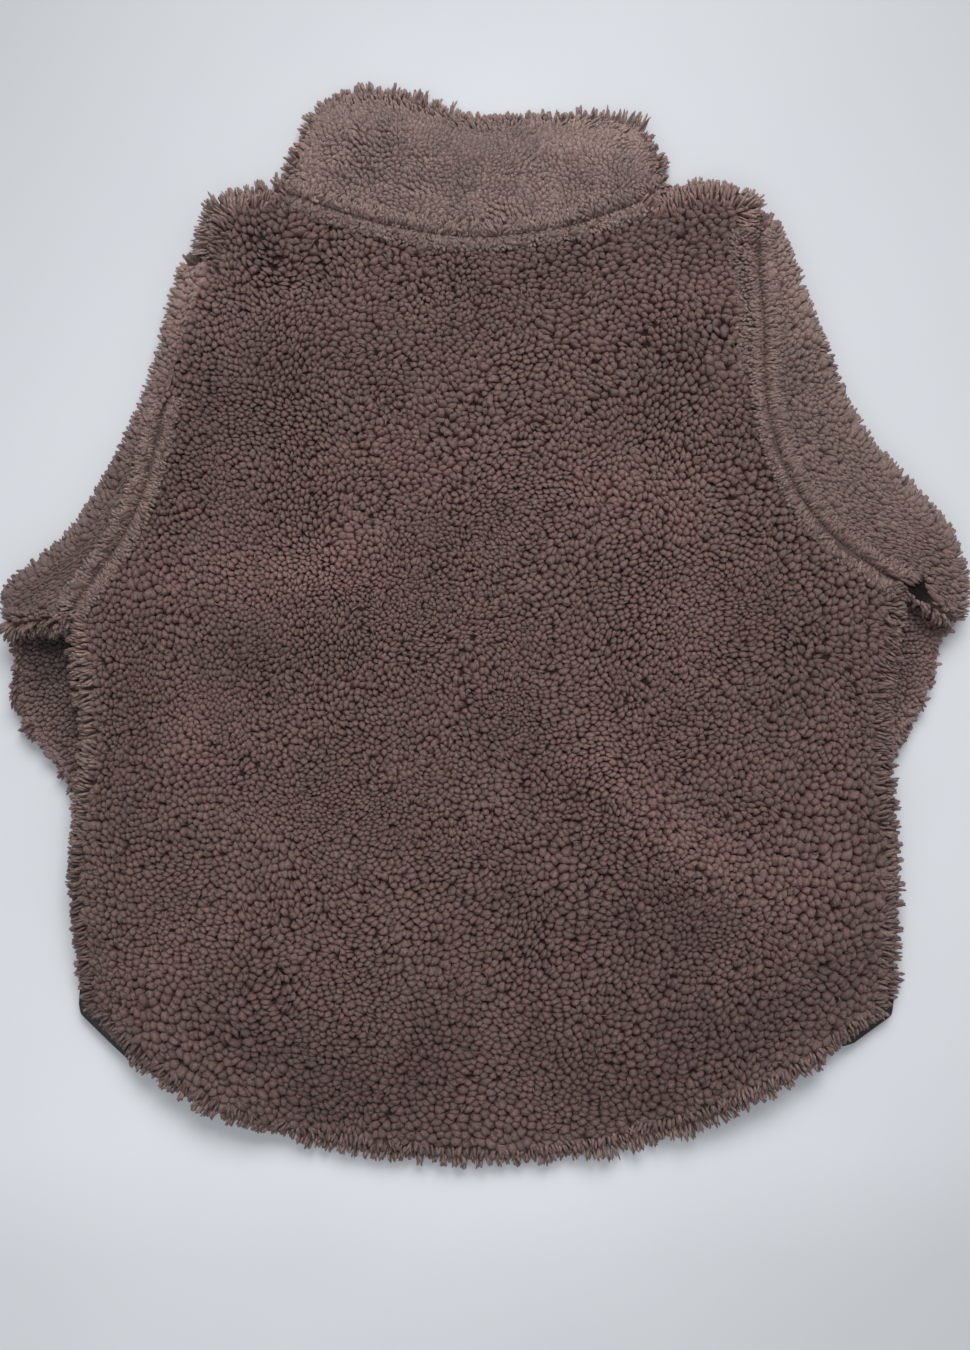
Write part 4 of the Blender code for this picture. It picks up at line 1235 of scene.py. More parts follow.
# the pile lies more towards the edges, and away from a seam
way = lay(points) + rng.normal(0, 0.30, (count, 2))
way = unit(way) * (1 - 0.7 * np.maximum(near_free, near_seam))[:, None]
way = way - 1.8 * near_free[:, None] * away_from(points, FREE_LINES)
way = way + 1.2 * near_seam[:, None] * away_from(points, SEAM_LINES)
way = np.column_stack([way, np.zeros(count)])
lean = 34 + 9 * noise(x, y, 30, 25) + rng.normal(0, 6, count)
lean = np.radians(lean + (62 - lean) * near_free + (58 - lean) * near_seam * (1 - near_free))
tall = (0.9 + 0.40 * gap) * rng.uniform(0.80, 1.20, count) * (1 - 0.30 * near_free - 0.34 * near_seam)
tilt = tall * np.tan(lean * 0.72)
# the tone is darker round the hollows under the arms: painted shade
tone = tone_and_painted_light_at(points, rng) - 0.5 * hollow_shade(points)
worn = 0.55 * near_free + 0.55 * near_seam
worn = np.clip(worn + 0.10 + 0.10 * noise(x, y, 26, 26) + rng.normal(0, 0.07, count), 0, 1)
order = np.argsort(y)
for k, part in enumerate(np.array_split(order, 2)):
    cobbles(f"back_pile_{('low', 'high')[k]}", pile_body, theta[part], reach[part], root[part], up[part], way[part],
                tall[part], tilt[part], tone[part], worn[part], 200 + k)

# single fibres and thin curls that lie over the nubs
points, gap = lattice((-300, -380, 303, 314), 11.0, 130, jitter=0.5, rounds=0)
inside = is_inside(points, BODY_OUTLINE)
points = points[inside]
free, seam = edge_distances(points)
points = points[(in_hollow(points) <= 0.0) & (free > 5) & (seam > 3)]
free, seam = edge_distances(points)
rng = np.random.default_rng(8)
count = len(points)
x, y = points[:, 0], points[:, 1]
angle = 2.6 * noise(x, y, 21, 28) + rng.normal(0, 0.9, count)
locks("back_hairs", pile_body, np.column_stack([points, back_knit(points, free, seam) + rng.uniform(1.6, 2.9, count)]),
          np.tile([0, 0, 1.0], (count, 1)), np.column_stack([np.cos(angle), np.sin(angle), 0 * x]),
          rng.uniform(3.6, 6.8, count), rng.uniform(0.36, 0.62, count), np.radians(rng.normal(74, 8, count)), 0.55,
          tone_and_painted_light_at(points, rng) + 0.05, np.clip(rng.normal(0.72, 0.16, count), 0, 1), 230, rings=HAIR_RINGS, sides=3)

# the band of combed pile along the free edges
points, gap = lattice((-300, -380, 303, 314), 2.95, 150, jitter=0.40, swirl=5.0, rounds=0)
inside = is_inside(points, BODY_OUTLINE)
points = points[inside]
near = distance_line(points, np.vstack([BODY_OUTLINE, BODY_OUTLINE[:1]])) < 24
points = points[near]
free, seam = edge_distances(points)
band = band_at(points)
keep = (free < band) & (free > 0.9) & (seam > 1.5) & (in_hollow(points) <= 0)
points, free, seam, band = points[keep], free[keep], seam[keep], band[keep]
rng = np.random.default_rng(9)
count = len(points)
x, y = points[:, 0], points[:, 1]
out = -away_from(points, FREE_LINES)
yaw = 0.75 * noise(x, y, 8.5, 31) + 0.35 * noise(x, y, 26, 32) + rng.normal(0, 0.24, count)
flank = (x < -200) * ease((14 - y) / 14) * ease((y + 150) / 26)  # the left side under the arm
yaw = yaw * (1 - 0.75 * flank) + 0.75 * flank * noise(0.18 * x, y, 5.2, 35)
top = ease((y - 262) / 16)
c, s_ = np.cos(yaw), np.sin(yaw)
way = np.column_stack([out[:, 0] * c - out[:, 1] * s_, out[:, 0] * s_ + out[:, 1] * c, 0 * yaw])
inward = np.clip((free - 1) / 8, 0, 1)
long = (4.6 + 3.6 * inward + 0.16 * (band - 9) * inward) * rng.uniform(0.8, 1.25, count)
lean = np.radians(80 - 16 * inward * (free / band) + rng.normal(0, 6, count))
# its tone paints light along the top edge, which tilts towards the light, and shade round the hollows under the arms;
# it is also lighter low on the right and darker low on the left
locks("edge_pile", pile_body, np.column_stack([points, back_knit(points, free, seam) - 0.35 + 0.5 * noise(x, y, 7, 33)]),
          slopes(back_knit, points), way, long, 1.12 * rng.uniform(0.72, 1.34, count), lean, 0.18,
          0.62 + 0.18 * (y < -150) * np.sign(x) - 0.30 * (x < -200) * ease((-20 - y) / 40) + 0.22 * noise(x, y, 17, 34) + (0.74 + 1.00 * (x > 0)) * top + flank * (0.55 + 0.34 * noise(0.2 * x, y, 5.2, 36))
          + rng.uniform(-0.2, 0.2, count) - 0.5 * hollow_shade(points),
          np.clip(0.95 - (0.35 - 0.2 * flank) * (free / band) ** 2 + rng.normal(0, 0.08, count), 0, 1), 240, rings=STRAND_RINGS, sides=4,
          rough=0.2, wide=(0.85, 1.3), deep=(0.75, 1.0))


def seam_rows(name, material, line, ways, seed, offsets=(0.35, 1.7, 3.2, 4.9, 6.8), step=1.85, only=None, tone=(0.52, 0.52), comb=0.26):
    """Fine flattened pile beside a seam, combed away from it on the sides given in ways."""
    rng = np.random.default_rng(seed)
    n = normals(line, np.array([1.0, 0.3]))
    run = np.r_[0, np.cumsum(np.linalg.norm(np.diff(line, axis=0), axis=1))]
    tangent = unit(np.gradient(line, axis=0))
    roots, combed, longs, tones = [], [], [], []
    rows = [(sign, k, offset) for sign in ways for k, offset in enumerate(offsets)]
    if only:
        rows += [(only[0], k + 5, offset) for k, offset in enumerate(only[1])]
    for sign, k, offset in rows:
        at = np.arange(step * (0.25 + 0.5 * (k % 2)), run[-1], step)
        at = np.clip(at + rng.uniform(-0.45, 0.45, len(at)) * step, 0, run[-1])
        read = lambda v: np.stack([np.interp(at, run, v[:, i]) for i in range(2)], -1)
        out, along = unit(read(n)) * sign, unit(read(tangent))
        q = read(line) + out * (offset + rng.uniform(-0.7, 0.7, (len(at), 1)) * (0.3 if k == 0 else 1.0))
        yaw = rng.normal(0, comb, len(at))[:, None] + 2 * comb * noise(q[:, 0], q[:, 1], 13, seed)[:, None]
        plain = seam_weight(q)
        keep = plain > 0.4
        if k >= 5:
            keep &= q[:, 1] > BROAD[1] - 14 + 16 * noise(q[:, 0], q[:, 1], 15, seed + 3)
        z = underside(q) + CLOTH + SLIT + KNIT + seam_relief(np.full(len(q), offset)) * plain - 0.45
        roots.append(np.column_stack([q, z])[keep])
        combed.append(np.column_stack([out * np.cos(yaw) + along * np.sin(yaw), 0 * yaw])[keep])
        longs.append((rng.normal(5.8, 0.8, len(at)) * (0.8 if k == 0 else 1.0))[keep])
        tones.append(np.full(keep.sum(), tone[0] if sign < 0 else tone[1]))
    root, way, long, tone = (np.concatenate(v) for v in (roots, combed, longs, tones))
    n = len(root)
    patch = 0.20 * noise(root[:, 0], root[:, 1], 15, seed + 4)
    return locks(name, material, root, np.tile([0, 0, 1.0], (n, 1)), way, long, 1.16 * rng.uniform(0.78, 1.25, n),
                 np.radians(rng.normal(74, 5, n)), 0.14, tone + patch + rng.uniform(-0.2, 0.2, n),
                 np.clip(rng.normal(0.86, 0.09, n), 0, 1), seed + 1, rings=STRAND_RINGS, sides=4, rough=0.2, wide=(0.85, 1.3), deep=(0.75, 1.0))


seam_pile = {
    "left": seam_rows("armhole_left_pile", pile_sleeve, line_arm["left"], (-1, 1), 801, tone=(0.82, 0.74)),
    "right": seam_rows("armhole_right_pile", pile_sleeve, line_arm["right"], (-1, 1), 811, only=(-1, (9.2, 11.3, 13.4, 15.4)), tone=(0.66, 0.76)),
    "neck": seam_rows("neck_pile", pile_collar, line_neck, (-1, 1), 821, tone=(0.22, 0.60), comb=0.5),
}


def fringe(name, material, line, out, up, step, length, radius, tiers, tone, worn, seed, reach=1.6,
           lengths=None, rings=STRAND_RINGS, droop=0.18, bunch=6.0):
    """Tufts along a line in space: out and up are unit vectors at its points. Each tier holds the
    height angle at which its tufts stand out, and tufts close together lean to a shared tip."""
    rng = np.random.default_rng(seed)
    run = np.r_[0, np.cumsum(np.linalg.norm(np.diff(line, axis=0), axis=1))]
    tangent = unit(np.gradient(line, axis=0))
    count = int(run[-1] / bunch) + 3
    tips = (np.arange(count) - 0.5 + rng.uniform(-0.3, 0.3, count)) * bunch
    tip_long = rng.uniform(0.66, 1.30, count)
    roots, heads, ways, longs, tones = [], [], [], [], []
    for k, tier in enumerate(tiers):
        at = np.arange(step * (0.2 + 0.5 * (k % 2)), run[-1], step)
        at = np.clip(at + rng.uniform(-0.35, 0.35, len(at)) * step, 0, run[-1])

        def read(values, at=at):
            return np.stack([np.interp(at, run, values[:, i]) for i in range(values.shape[1])], -1)

        p, o, u = read(line), unit(read(out)), unit(read(up))
        scale = np.interp(at, run, lengths) if lengths is not None else np.ones(len(at))
        near = np.abs(at[:, None] - tips[None]).argmin(1)
        long = length * scale * tip_long[near] * rng.uniform(0.85, 1.15, len(at))
        pull = np.clip((tips[near] - at) / np.maximum(long, 2.0), -0.8, 0.8) * 0.75 + rng.normal(0, 0.12, len(at))
        a = np.radians(tier + rng.normal(0, 9, len(at)))[:, None]
        head = unit(o * np.cos(a) + u * np.sin(a))
        head = unit(head + unit(read(tangent)) * pull[:, None])
        roots.append(p + head * reach)
        heads.append(head)
        sideways = np.cross(o, u)
        ways.append(unit(sideways * rng.choice([-1, 1], (len(at), 1)) * 0.6 - u * 0.8))
        longs.append(long)
        tones.append(tone + 0.9 * (tip_long[near] - 0.98) * 0.3 + rng.uniform(-0.18, 0.18, len(at)))
    root, head, way = (np.concatenate(v) for v in (roots, heads, ways))
    long, tone = np.concatenate(longs), np.concatenate(tones)
    n = len(root)
    return locks(
        name, material, root, head, way, long, radius * rng.uniform(0.75, 1.25, n), rng.normal(0.1, 0.1, n), droop,
        tone, np.clip(worn + rng.normal(0, 0.08, n), 0, 1), seed + 1,
        rings=rings, sides=4, rough=0.18, wide=(0.85, 1.2), deep=(0.75, 1.0),
    )


def edge_frame(line, inside_point=(0.0, 0.0)):
    """A plan line's outward unit vectors, away from a point inside, as space vectors."""
    n = normals(line, line - np.asarray(inside_point))
    return np.column_stack([n, np.zeros(len(n))]), np.tile([0, 0, 1.0], (len(n), 1))


# tufts that stand out along the body's own edges
tufts = []
middle_height = CLOTH + SLIT / 2
for name, line, size_of in (
    ("hem", line_hem, 7.6),
    ("side_left", line_side["left"], 6.6),
    ("side_right", line_side["right"], 7.2),
    ("shoulder_left", np.vstack([line_tip["left"], line_shoulder["left"][::-1][1:]]), 9.0),
    ("shoulder_right", np.vstack([line_tip["right"], line_shoulder["right"][::-1][1:]]), 6.6),
):
    line = evenly(line, max(20, int(length_of(line) / 4)))
    out, upward = edge_frame(line)
    centre_line = np.column_stack([line, underside(line) + middle_height]) - out * 2.6
    # at the two lower corners the binding shows, so the tufts there are short
    corner = np.minimum(np.hypot(line[:, 0] + 262, line[:, 1] + 276), np.hypot(line[:, 0] - 256, line[:, 1] + 280))
    lengths = 1 - 0.62 * np.exp(-((corner / 22.0) ** 4))
    if name == "hem":
        lengths = lengths + 0.75 * np.exp(-(((line[:, 0] - 116) / 42) ** 2)) + 0.2 * np.exp(-(((line[:, 0] + 110) / 50) ** 2))
    if name == "side_left":
        lengths = lengths - 0.45 * np.exp(-(((line[:, 1] + 150) / 24) ** 2))
        lengths = lengths - 0.28 * np.exp(-(((line[:, 1] + 205) / 40) ** 2))
    if name == "side_right":
        lengths = lengths + 0.35 * np.exp(-(((line[:, 1] + 240) / 14) ** 2))
    if name == "shoulder_left":
        lengths = lengths + 0.60 * np.exp(-(((line[:, 1] - 264) / 12) ** 2)) * (line[:, 0] < -170)
    if name == "shoulder_right":
        lengths = lengths - 0.25 * np.exp(-(((line[:, 0] - 160) / 18) ** 2))
    # the shoulders' tufts take the collar's lighter copy of the pile: painted light on the top edge
    shoulder = name.startswith("shoulder")
    tufts.append(
        fringe(f"tufts_{name}", pile_collar if shoulder else pile_body, centre_line, out, upward, 2.4 if shoulder else 2.45, size_of, 1.05 if shoulder else 1.16,
               (-58, -30, -4, 22, 48), (0.95 if name.endswith("right") else 0.76) if shoulder else 0.84, 0.92, 300 + len(tufts) * 7, lengths=lengths,
               bunch=5.2 if shoulder else 6.0)
    )

# locks on the side of the fronts that faces the table, where no sleeve covers them
front_pile = {}
for side, start, end in (("left", -292, -ZIP_HALF - 1.5), ("right", ZIP_HALF + 1.0, 295)):
    points, gap = lattice((start, -370, end, 300), 10.0, 400 + len(front_pile), jitter=0.25, rounds=1)
    inside = is_inside(points, BODY_OUTLINE)
    neck = (points[:, 1] > 245) & (np.abs(points[:, 0] + 5) < 140)
    covered = is_inside(points, OUTLINES[side]) & (distance_line(points, np.vstack([OUTLINES[side], OUTLINES[side][:1]])) > 14)
    points, gap = points[inside & ~neck & ~covered], gap[inside & ~neck & ~covered]
    free, _ = edge_distances(points)
    points, gap = points[free > 3], gap[free > 3]
    rng = np.random.default_rng(17)
    n = len(points)
    angle = rng.uniform(0, 2 * math.pi, n) * 0.25 + 2.2 * noise(points[:, 0], points[:, 1], 70, 43)
    front_pile[side] = locks(
        f"front_{side}_pile", pile_body, np.column_stack([points, front_knit(points) + 0.3]), np.tile([0, 0, -1.0], (n, 1)),
        np.column_stack([np.cos(angle), np.sin(angle), 0 * angle]), 4.8 + rng.normal(0, 0.4, n), gap * 0.62, 0.75, 0.35,
        tone_and_painted_light_at(points, rng), 0.15, 440 if side == "left" else 445, rings=STUB_RINGS, floor=0.15,
    )


# ---------------------------------------------------------------- the sleeves
def sleeve_path(side, across):
    """Middle of the sleeve's flat tube from the armhole seam round the fold to the cuff, and its
    outward normals: arrays of (across, along, 3)."""
    seam_line = armhole_line(side, across)
    axis, out = fold_line(side, across)
    upper, lower = 1.5 * SLEEVE_PAIR + SLIT, SLEEVE_PAIR / 2
    n = len(across)
    centres, heads = [], []
    for s in np.linspace(0, 1, 8)[:-1]:
        centres.append(np.column_stack([seam_line + (axis - seam_line) * s, np.full(n, upper)]))
        heads.append(np.tile([0, 0, 1.0], (n, 1)))
    for a in np.linspace(0, math.pi, 13):
        p = axis + out * FOLD_R * math.sin(a)
        centres.append(np.column_stack([p, np.full(n, (upper + lower) / 2 + FOLD_R * math.cos(a))]))
        heads.append(np.column_stack([out * math.sin(a), np.full(n, math.cos(a))]))
    for ring in sleeve_plan(side, across):
        centres.append(np.column_stack([ring, np.full(n, lower)]))
        heads.append(np.tile([0, 0, -1.0], (n, 1)))
    return np.stack(centres, 1), np.stack(heads, 1)


def refined(array, times):
    """The same arrays with more steps along."""
    m = array.shape[1]
    at = np.linspace(0, m - 1, (m - 1) * times + 1)
    i = np.minimum(np.floor(at).astype(int), m - 2)
    t = (at - i)[None, :, None]
    return array[:, i] * (1 - t) + array[:, i + 1] * t


def sleeve_cloth(side):
    across = np.linspace(0, 1, 36)
    c, nn = sleeve_path(side, across)
    first = unit(c[0] - c[1])
    final = unit(c[-1] - c[-2])
    run = np.concatenate([np.zeros((len(across), 1)), np.cumsum(np.linalg.norm(np.diff(c, axis=1), axis=-1), axis=1)], 1)
    relief = np.where(run < 30, seam_relief(run), 0.0) * (nn[..., 2] > 0.5) * seam_weight(c[..., :2])
    r_out, r_in = SLIT / 2 + KNIT, SLIT / 2 + 0.2
    outer_top = c + nn * (r_out + relief)[..., None]
    outer_low = c - nn * r_out
    inner_top, inner_low = c + nn * r_in, c - nn * r_in
    loops_out = [outer_top[k] for k in range(len(across))]
    loops_out += [c[-1] + (final * math.sin(a) + nn[-1] * math.cos(a)) * r_out for a in (math.pi / 3, 2 * math.pi / 3)]
    loops_out += [outer_low[k] for k in range(len(across) - 1, -1, -1)]
    loops_out += [c[0] + (first * math.sin(a) - nn[0] * math.cos(a)) * r_out for a in (math.pi / 3, 2 * math.pi / 3)]
    loops_in = [inner_top[k] for k in range(len(across))]
    loops_in += [c[-1] + (final * math.sin(a) + nn[-1] * math.cos(a)) * r_in for a in (math.pi / 3, 2 * math.pi / 3)]
    loops_in += [inner_low[k] for k in range(len(across) - 1, -1, -1)]
    loops_in += [c[0] + (first * math.sin(a) - nn[0] * math.cos(a)) * r_in for a in (math.pi / 3, 2 * math.pi / 3)]
    outer, inner = np.array(loops_out), np.array(loops_in)  # (round, along, 3)
    m, k = outer.shape[:2]
    a = (np.arange(m)[:, None] * k + np.arange(k - 1)).ravel()
    b = (((np.arange(m) + 1) % m)[:, None] * k + np.arange(k - 1)).ravel()
    tris = [np.stack([a, a + 1, b + 1], -1), np.stack([a, b + 1, b], -1)]
    n = m * k
    tris += [np.stack([a, b + 1, a + 1], -1) + n, np.stack([a, b, b + 1], -1) + n]
    for end, flip in ((0, False), (k - 1, True)):
        p = np.arange(m) * k + end
        q = np.roll(p, -1)
        cap = np.concatenate([np.stack([p, q, q + n], -1), np.stack([p, q + n, p + n], -1)])
        tris.append(cap[:, ::-1] if flip else cap)
    verts, tris = np.concatenate([outer.reshape(-1, 3), inner.reshape(-1, 3)]), np.concatenate(tris)
    corners = verts[tris]
    if np.einsum("ij,ij->i", corners[:, 0], np.cross(corners[:, 1], corners[:, 2])).sum() < 0:
        tris = tris[:, ::-1]
    # hollow: painted shade, near black in the hollows under the arms
    return new_mesh(f"sleeve_{side}_cloth", verts, tris, knit_brown, hollow=hollow_shade(verts[:, :2]) * (verts[:, 2] > UNDER_BODY),
                    matted=1.0 * (verts[:, 2] > UNDER_BODY - 4))


def read_grid(grid, share, run, step):
    """Values between the points of a grid: share across it from 0 to 1, run along it."""
    u = np.clip(share, 0, 1) * (grid.shape[0] - 1.001)
    v = np.clip(run / step, 0, grid.shape[1] - 1.001)
    i, j = np.floor(u).astype(int), np.floor(v).astype(int)
    a, b = (u - i)[:, None], (v - j)[:, None]
    low = grid[i, j] * (1 - a) + grid[i + 1, j] * a
    return low * (1 - b) + (grid[i, j + 1] * (1 - a) + grid[i + 1, j + 1] * a) * b


def shaded(points):
    """How much painted shade darkens the sleeves' lower faces close under the arms."""
    dark = np.zeros(len(points))
    for x, y, half_x, half_y, deep in (
        (-298, -26, 26, 22, 0.95), (-270, -50, 16, 50, 0.95), (298, 2, 24, 22, 1.05), (288, -30, 14, 30, 0.95),
        (-291, -15, 15, 6.5, 2.2), (297, 16, 13, 6, 1.9),
    ):
        dark = np.maximum(dark, deep * np.exp(-(((points[:, 0] - x) / half_x) ** 2) - ((points[:, 1] - y) / half_y) ** 2))
    return dark


def sleeve_locks(side, seed):
    """Locks on the outside of the tube: close together above the table, coarser below."""
    rng = np.random.default_rng(seed)

    # tone of the strip along the fold, with painted shade: the left one darker overall and lower down, where it lies in
    # shade; the right one lighter higher up, with a darker patch beside the seam
    def strip_tone(p):
        y = p[:, 1]
        if side == "left":
            return 0.30 + 0.60 * ease((y - 105) / 45) + 0.45 * ease((y - 185) / 40)
        patch = np.exp(-(((p[:, 0] - 205) / 12) ** 2) - (((y - 150) / 44) ** 2))
        return 0.76 + 0.45 * ease((y - 170) / 60) - 0.42 * patch

    across = np.linspace(0, 1, 101)
    edge, edge_out = fold_line(side, np.linspace(0, 1, 100))
    wide = length_of(edge) * 1.06
    c, nn = sleeve_path(side, across)
    c, nn = refined(c, 6), unit(refined(nn, 6))
    surface = c + nn * (SLIT / 2 + KNIT)
    run = np.concatenate([np.zeros((len(across), 1)), np.cumsum(np.linalg.norm(np.diff(surface, axis=1), axis=-1), axis=1)], 1)
    steps = np.arange(0, run[:, -1].max() + 3, 2.0)
    place = np.stack([np.stack([np.interp(steps, run[i], surface[i, :, k]) for k in range(3)], -1) for i in range(len(across))])
    facing = np.stack([np.stack([np.interp(steps, run[i], nn[i, :, k]) for k in range(3)], -1) for i in range(len(across))])
    # the fold is turned where the cloth faces down
    turned = np.array([run[i][np.argmax(nn[i, :, 2] < -0.80)] for i in range(len(across))])
    made = []
    for zone, step in (("strip", 3.25), ("under", 10.5)):
        points, gap = lattice((0, 0.6, wide, run[:, -1].max()), step, seed + 11, jitter=0.40 if zone == "strip" else 0.26, swirl=3.0, rounds=0 if zone == "strip" else 1)
        share, at = points[:, 0] / wide, points[:, 1]
        limit, last = np.interp(share, across, turned), np.interp(share, across, run[:, -1]) - 2
        keep = (share > 0.004) & (share < 0.996)
        keep &= at < limit if zone == "strip" else (at >= limit) & (at < last)
        share, at, gap, limit = share[keep], at[keep], gap[keep], limit[keep]
        p, head = read_grid(place, share, at, 2.0), unit(read_grid(facing, share, at, 2.0))
        along = unit(read_grid(place, share, at + 1.5, 2.0) - read_grid(place, share, np.maximum(at - 1.5, 0), 2.0))
        if zone == "strip":
            plain = seam_weight(p[:, :2])
            keep = (in_hollow(p[:, :2]) <= 0) & (at > np.where(plain > 0.5, 6.0, 0.7))
            p, head, along, at, gap, plain = p[keep], head[keep], along[keep], at[keep], gap[keep], plain[keep]
            share, limit = share[keep], limit[keep]
            p = p + head * (0.45 * noise(p[:, 0], p[:, 1], 8, seed + 8) * (head[:, 2] > 0.5))[:, None]
        p = p + head * (np.where(at < 30, seam_relief(at), 0) * (head[:, 2] > 0.5) * seam_weight(p[:, :2]) - 0.4)[:, None]
        n = len(p)
        sideways = np.cross(head, along)
        if zone == "strip":
            # soft nubs on the flat middle, strands beside the seam and over the fold
            soft = (1 - head[:, 2] < 0.16) & (limit - at > 15 + 3 * noise(p[:, 0], p[:, 1], 12, seed + 4))
            soft &= at > np.where(plain > 0.5, 7.5, 1.0) + 1.2 * noise(p[:, 0], p[:, 1], 9, seed + 12)
            soft &= (share * wide > 6) & ((1 - share) * wide > 9)
            if soft.sum() > 40:
                grid_points = np.stack([share * wide, at], -1)
                # every other point or so, so that the nubs are larger than the strands' spacing
                apart = rng.uniform(0, 1, len(share)) < 0.62
                soft_all, soft = soft, soft & apart
                grid_points, room, theta, reach = cells(
                    grid_points[soft], lambda q: 0 * q[:, 0], lambda q: 1.3 + 0 * q[:, 0], rng, rounds=0, cap=0.9
                )
                sp, sh, sa = p[soft], head[soft], along[soft]
                to = unit(read_grid(place, np.minimum(share[soft] + 0.02, 1), at[soft], 2.0) - read_grid(place, share[soft] - 0.02, at[soft], 2.0))
                to = unit(to - sh * (to * sh).sum(-1, keepdims=True))
                m = len(sp)
                tone = 0.16 * noise(sp[:, 0], sp[:, 1], 30, 45) + 0.14 * noise(sp[:, 0], sp[:, 1], 11, 46) + rng.uniform(-0.2, 0.2, m)
                tone = tone + strip_tone(sp) - 0.1
                tall = (1.1 + 0.42 * room) * rng.uniform(0.8, 1.2, m)
                made.append(cobbles(
                    f"sleeve_{side}_nubs", pile_sleeve, theta, reach, sp + sh * (rng.normal(0, 0.2, m) + 0.3)[:, None], sh, sa, tall,
                    tall * 0.7, tone, np.clip(rng.normal(0.50, 0.08, m), 0, 1), seed + 6, foot=0.26, frame=(to, sa),
                ))
                rest = ~soft_all
                p, head, along, at, gap, plain, sideways = p[rest], head[rest], along[rest], at[rest], gap[rest], plain[rest], sideways[rest]
                n = len(p)
            swirl = 0.55 * noise(p[:, 0], p[:, 1], 26, seed + 5) + 0.75 * noise(p[:, 0], p[:, 1], 9, seed + 6) + rng.normal(0, 0.26, n)
            way = along * np.cos(swirl)[:, None] + sideways * np.sin(swirl)[:, None]
            # on the part that turns, the pile stands out; on the flat strip it lies outwards
            turn = 1 - np.clip(head[:, 2], 0, 1)
            nubby = (1 - ease(turn * 3.0)) * np.clip(0.35 + 0.9 * (1 - plain), 0, 1)
            lean = np.radians(64 - 24 * ease(turn * 1.5) - 16 * nubby) + rng.normal(0, 0.13, n)
            long = (6.6 + 1.0 * ease(turn * 1.4) - 1.2 * nubby) * rng.uniform(0.82, 1.2, n)
            size = (1.18 + 0.62 * nubby) * rng.uniform(0.72, 1.34, n)
            worn = 0.72 - 0.42 * nubby + 0.2 * ease(turn * 2.0)
            tone = strip_tone(p) + 0.16 * noise(p[:, 0], p[:, 1], 30, 45) + 0.12 * noise(p[:, 0], p[:, 1], 11, 46)
            # darker round the hollows under the arms: painted shade
            tone = tone + rng.uniform(-0.2, 0.2, n) - 0.5 * hollow_shade(p[:, :2])
            made.append(locks(f"sleeve_{side}_pile", pile_sleeve, p, head, way, long, size, lean, 0.22, tone,
                              np.clip(worn + rng.normal(0, 0.07, n), 0, 1), seed + 1, rings=STRAND_RINGS, sides=4, rough=0.2, wide=(0.85, 1.35), deep=(0.75, 1.0)))
        else:
            angle = rng.uniform(0, 2 * math.pi, n)
            way = along * np.cos(angle)[:, None] + sideways * np.sin(angle)[:, None]
            made.append(locks(f"sleeve_{side}_pile_under", pile_sleeve, p, head, way, 4.6 + rng.normal(0, 0.4, n), gap * 0.60,
                              0.75, 0.35, 0.5 + rng.uniform(-0.2, 0.2, n), 0.2, seed + 2, rings=STUB_RINGS, floor=0.15))
    # the part that shows beyond the body's side: its upper face
    x0, x1 = (-342, -150) if side == "left" else (150, 342)
    points, gap = lattice((x0, -320, x1, 60), 3.2, seed + 9, jitter=0.5, swirl=4.0, rounds=0)
    points, gap, theta, reach = cells(
        points, lambda p: 1.6 * noise(p[:, 0], p[:, 1], 30, seed + 7), lambda p: 1.4 + 0 * p[:, 0], rng, rounds=1
    )
    strip = np.vstack([armhole_line(side, np.linspace(0, 1, 60)), (edge + edge_out * FOLD_R)[::-1]])
    body_near = distance_line(points, np.vstack([BODY_OUTLINE, BODY_OUTLINE[:1]]))
    shows = is_inside(points, OUTLINES[side]) & ~is_inside(points, strip)
    shows &= ~is_inside(points, BODY_OUTLINE) | (body_near < 9)
    shows &= distance_line(points, OUTLINES[side]) > 2.5
    points, gap, theta, reach = points[shows], gap[shows], theta[shows], reach[shows]
    n = len(points)
    outwards = math.pi if side == "left" else 0.0
    angle = outwards + rng.normal(0, 0.5, n) + 1.2 * noise(points[:, 0], points[:, 1], 34, seed + 6)
    margin = np.exp(-((distance_line(points, OUTLINES[side]) / 9.0) ** 2))
    tall = (1.3 + 0.42 * gap) * rng.uniform(0.8, 1.2, n)
    # its tone holds painted shade: darker beside the body, the left more than the right, and darker still close under
    # the arms; it is lighter towards the sleeve's edges
    made.append(cobbles(
        f"sleeve_{side}_pile_below", pile_sleeve, theta, reach,
        np.column_stack([points, np.full(n, SLEEVE_PAIR / 2 + SLIT / 2 + KNIT)]) + rng.normal(0, 0.2, n)[:, None] * [0, 0, 1.0],
        np.tile([0, 0, 1.0], (n, 1)), np.column_stack([np.cos(angle), np.sin(angle), 0 * angle]), tall,
        tall * (0.45 + 1.2 * margin), (0.32 if side == "left" else 0.80) + (0.55 if side == "left" else 0.36) * margin + rng.uniform(-0.2, 0.2, n)
        - (1.0 if side == "left" else 0.72) * shaded(points), np.clip(0.12 + 0.6 * margin + rng.normal(0, 0.06, n), 0, 1), seed + 3,
    ))
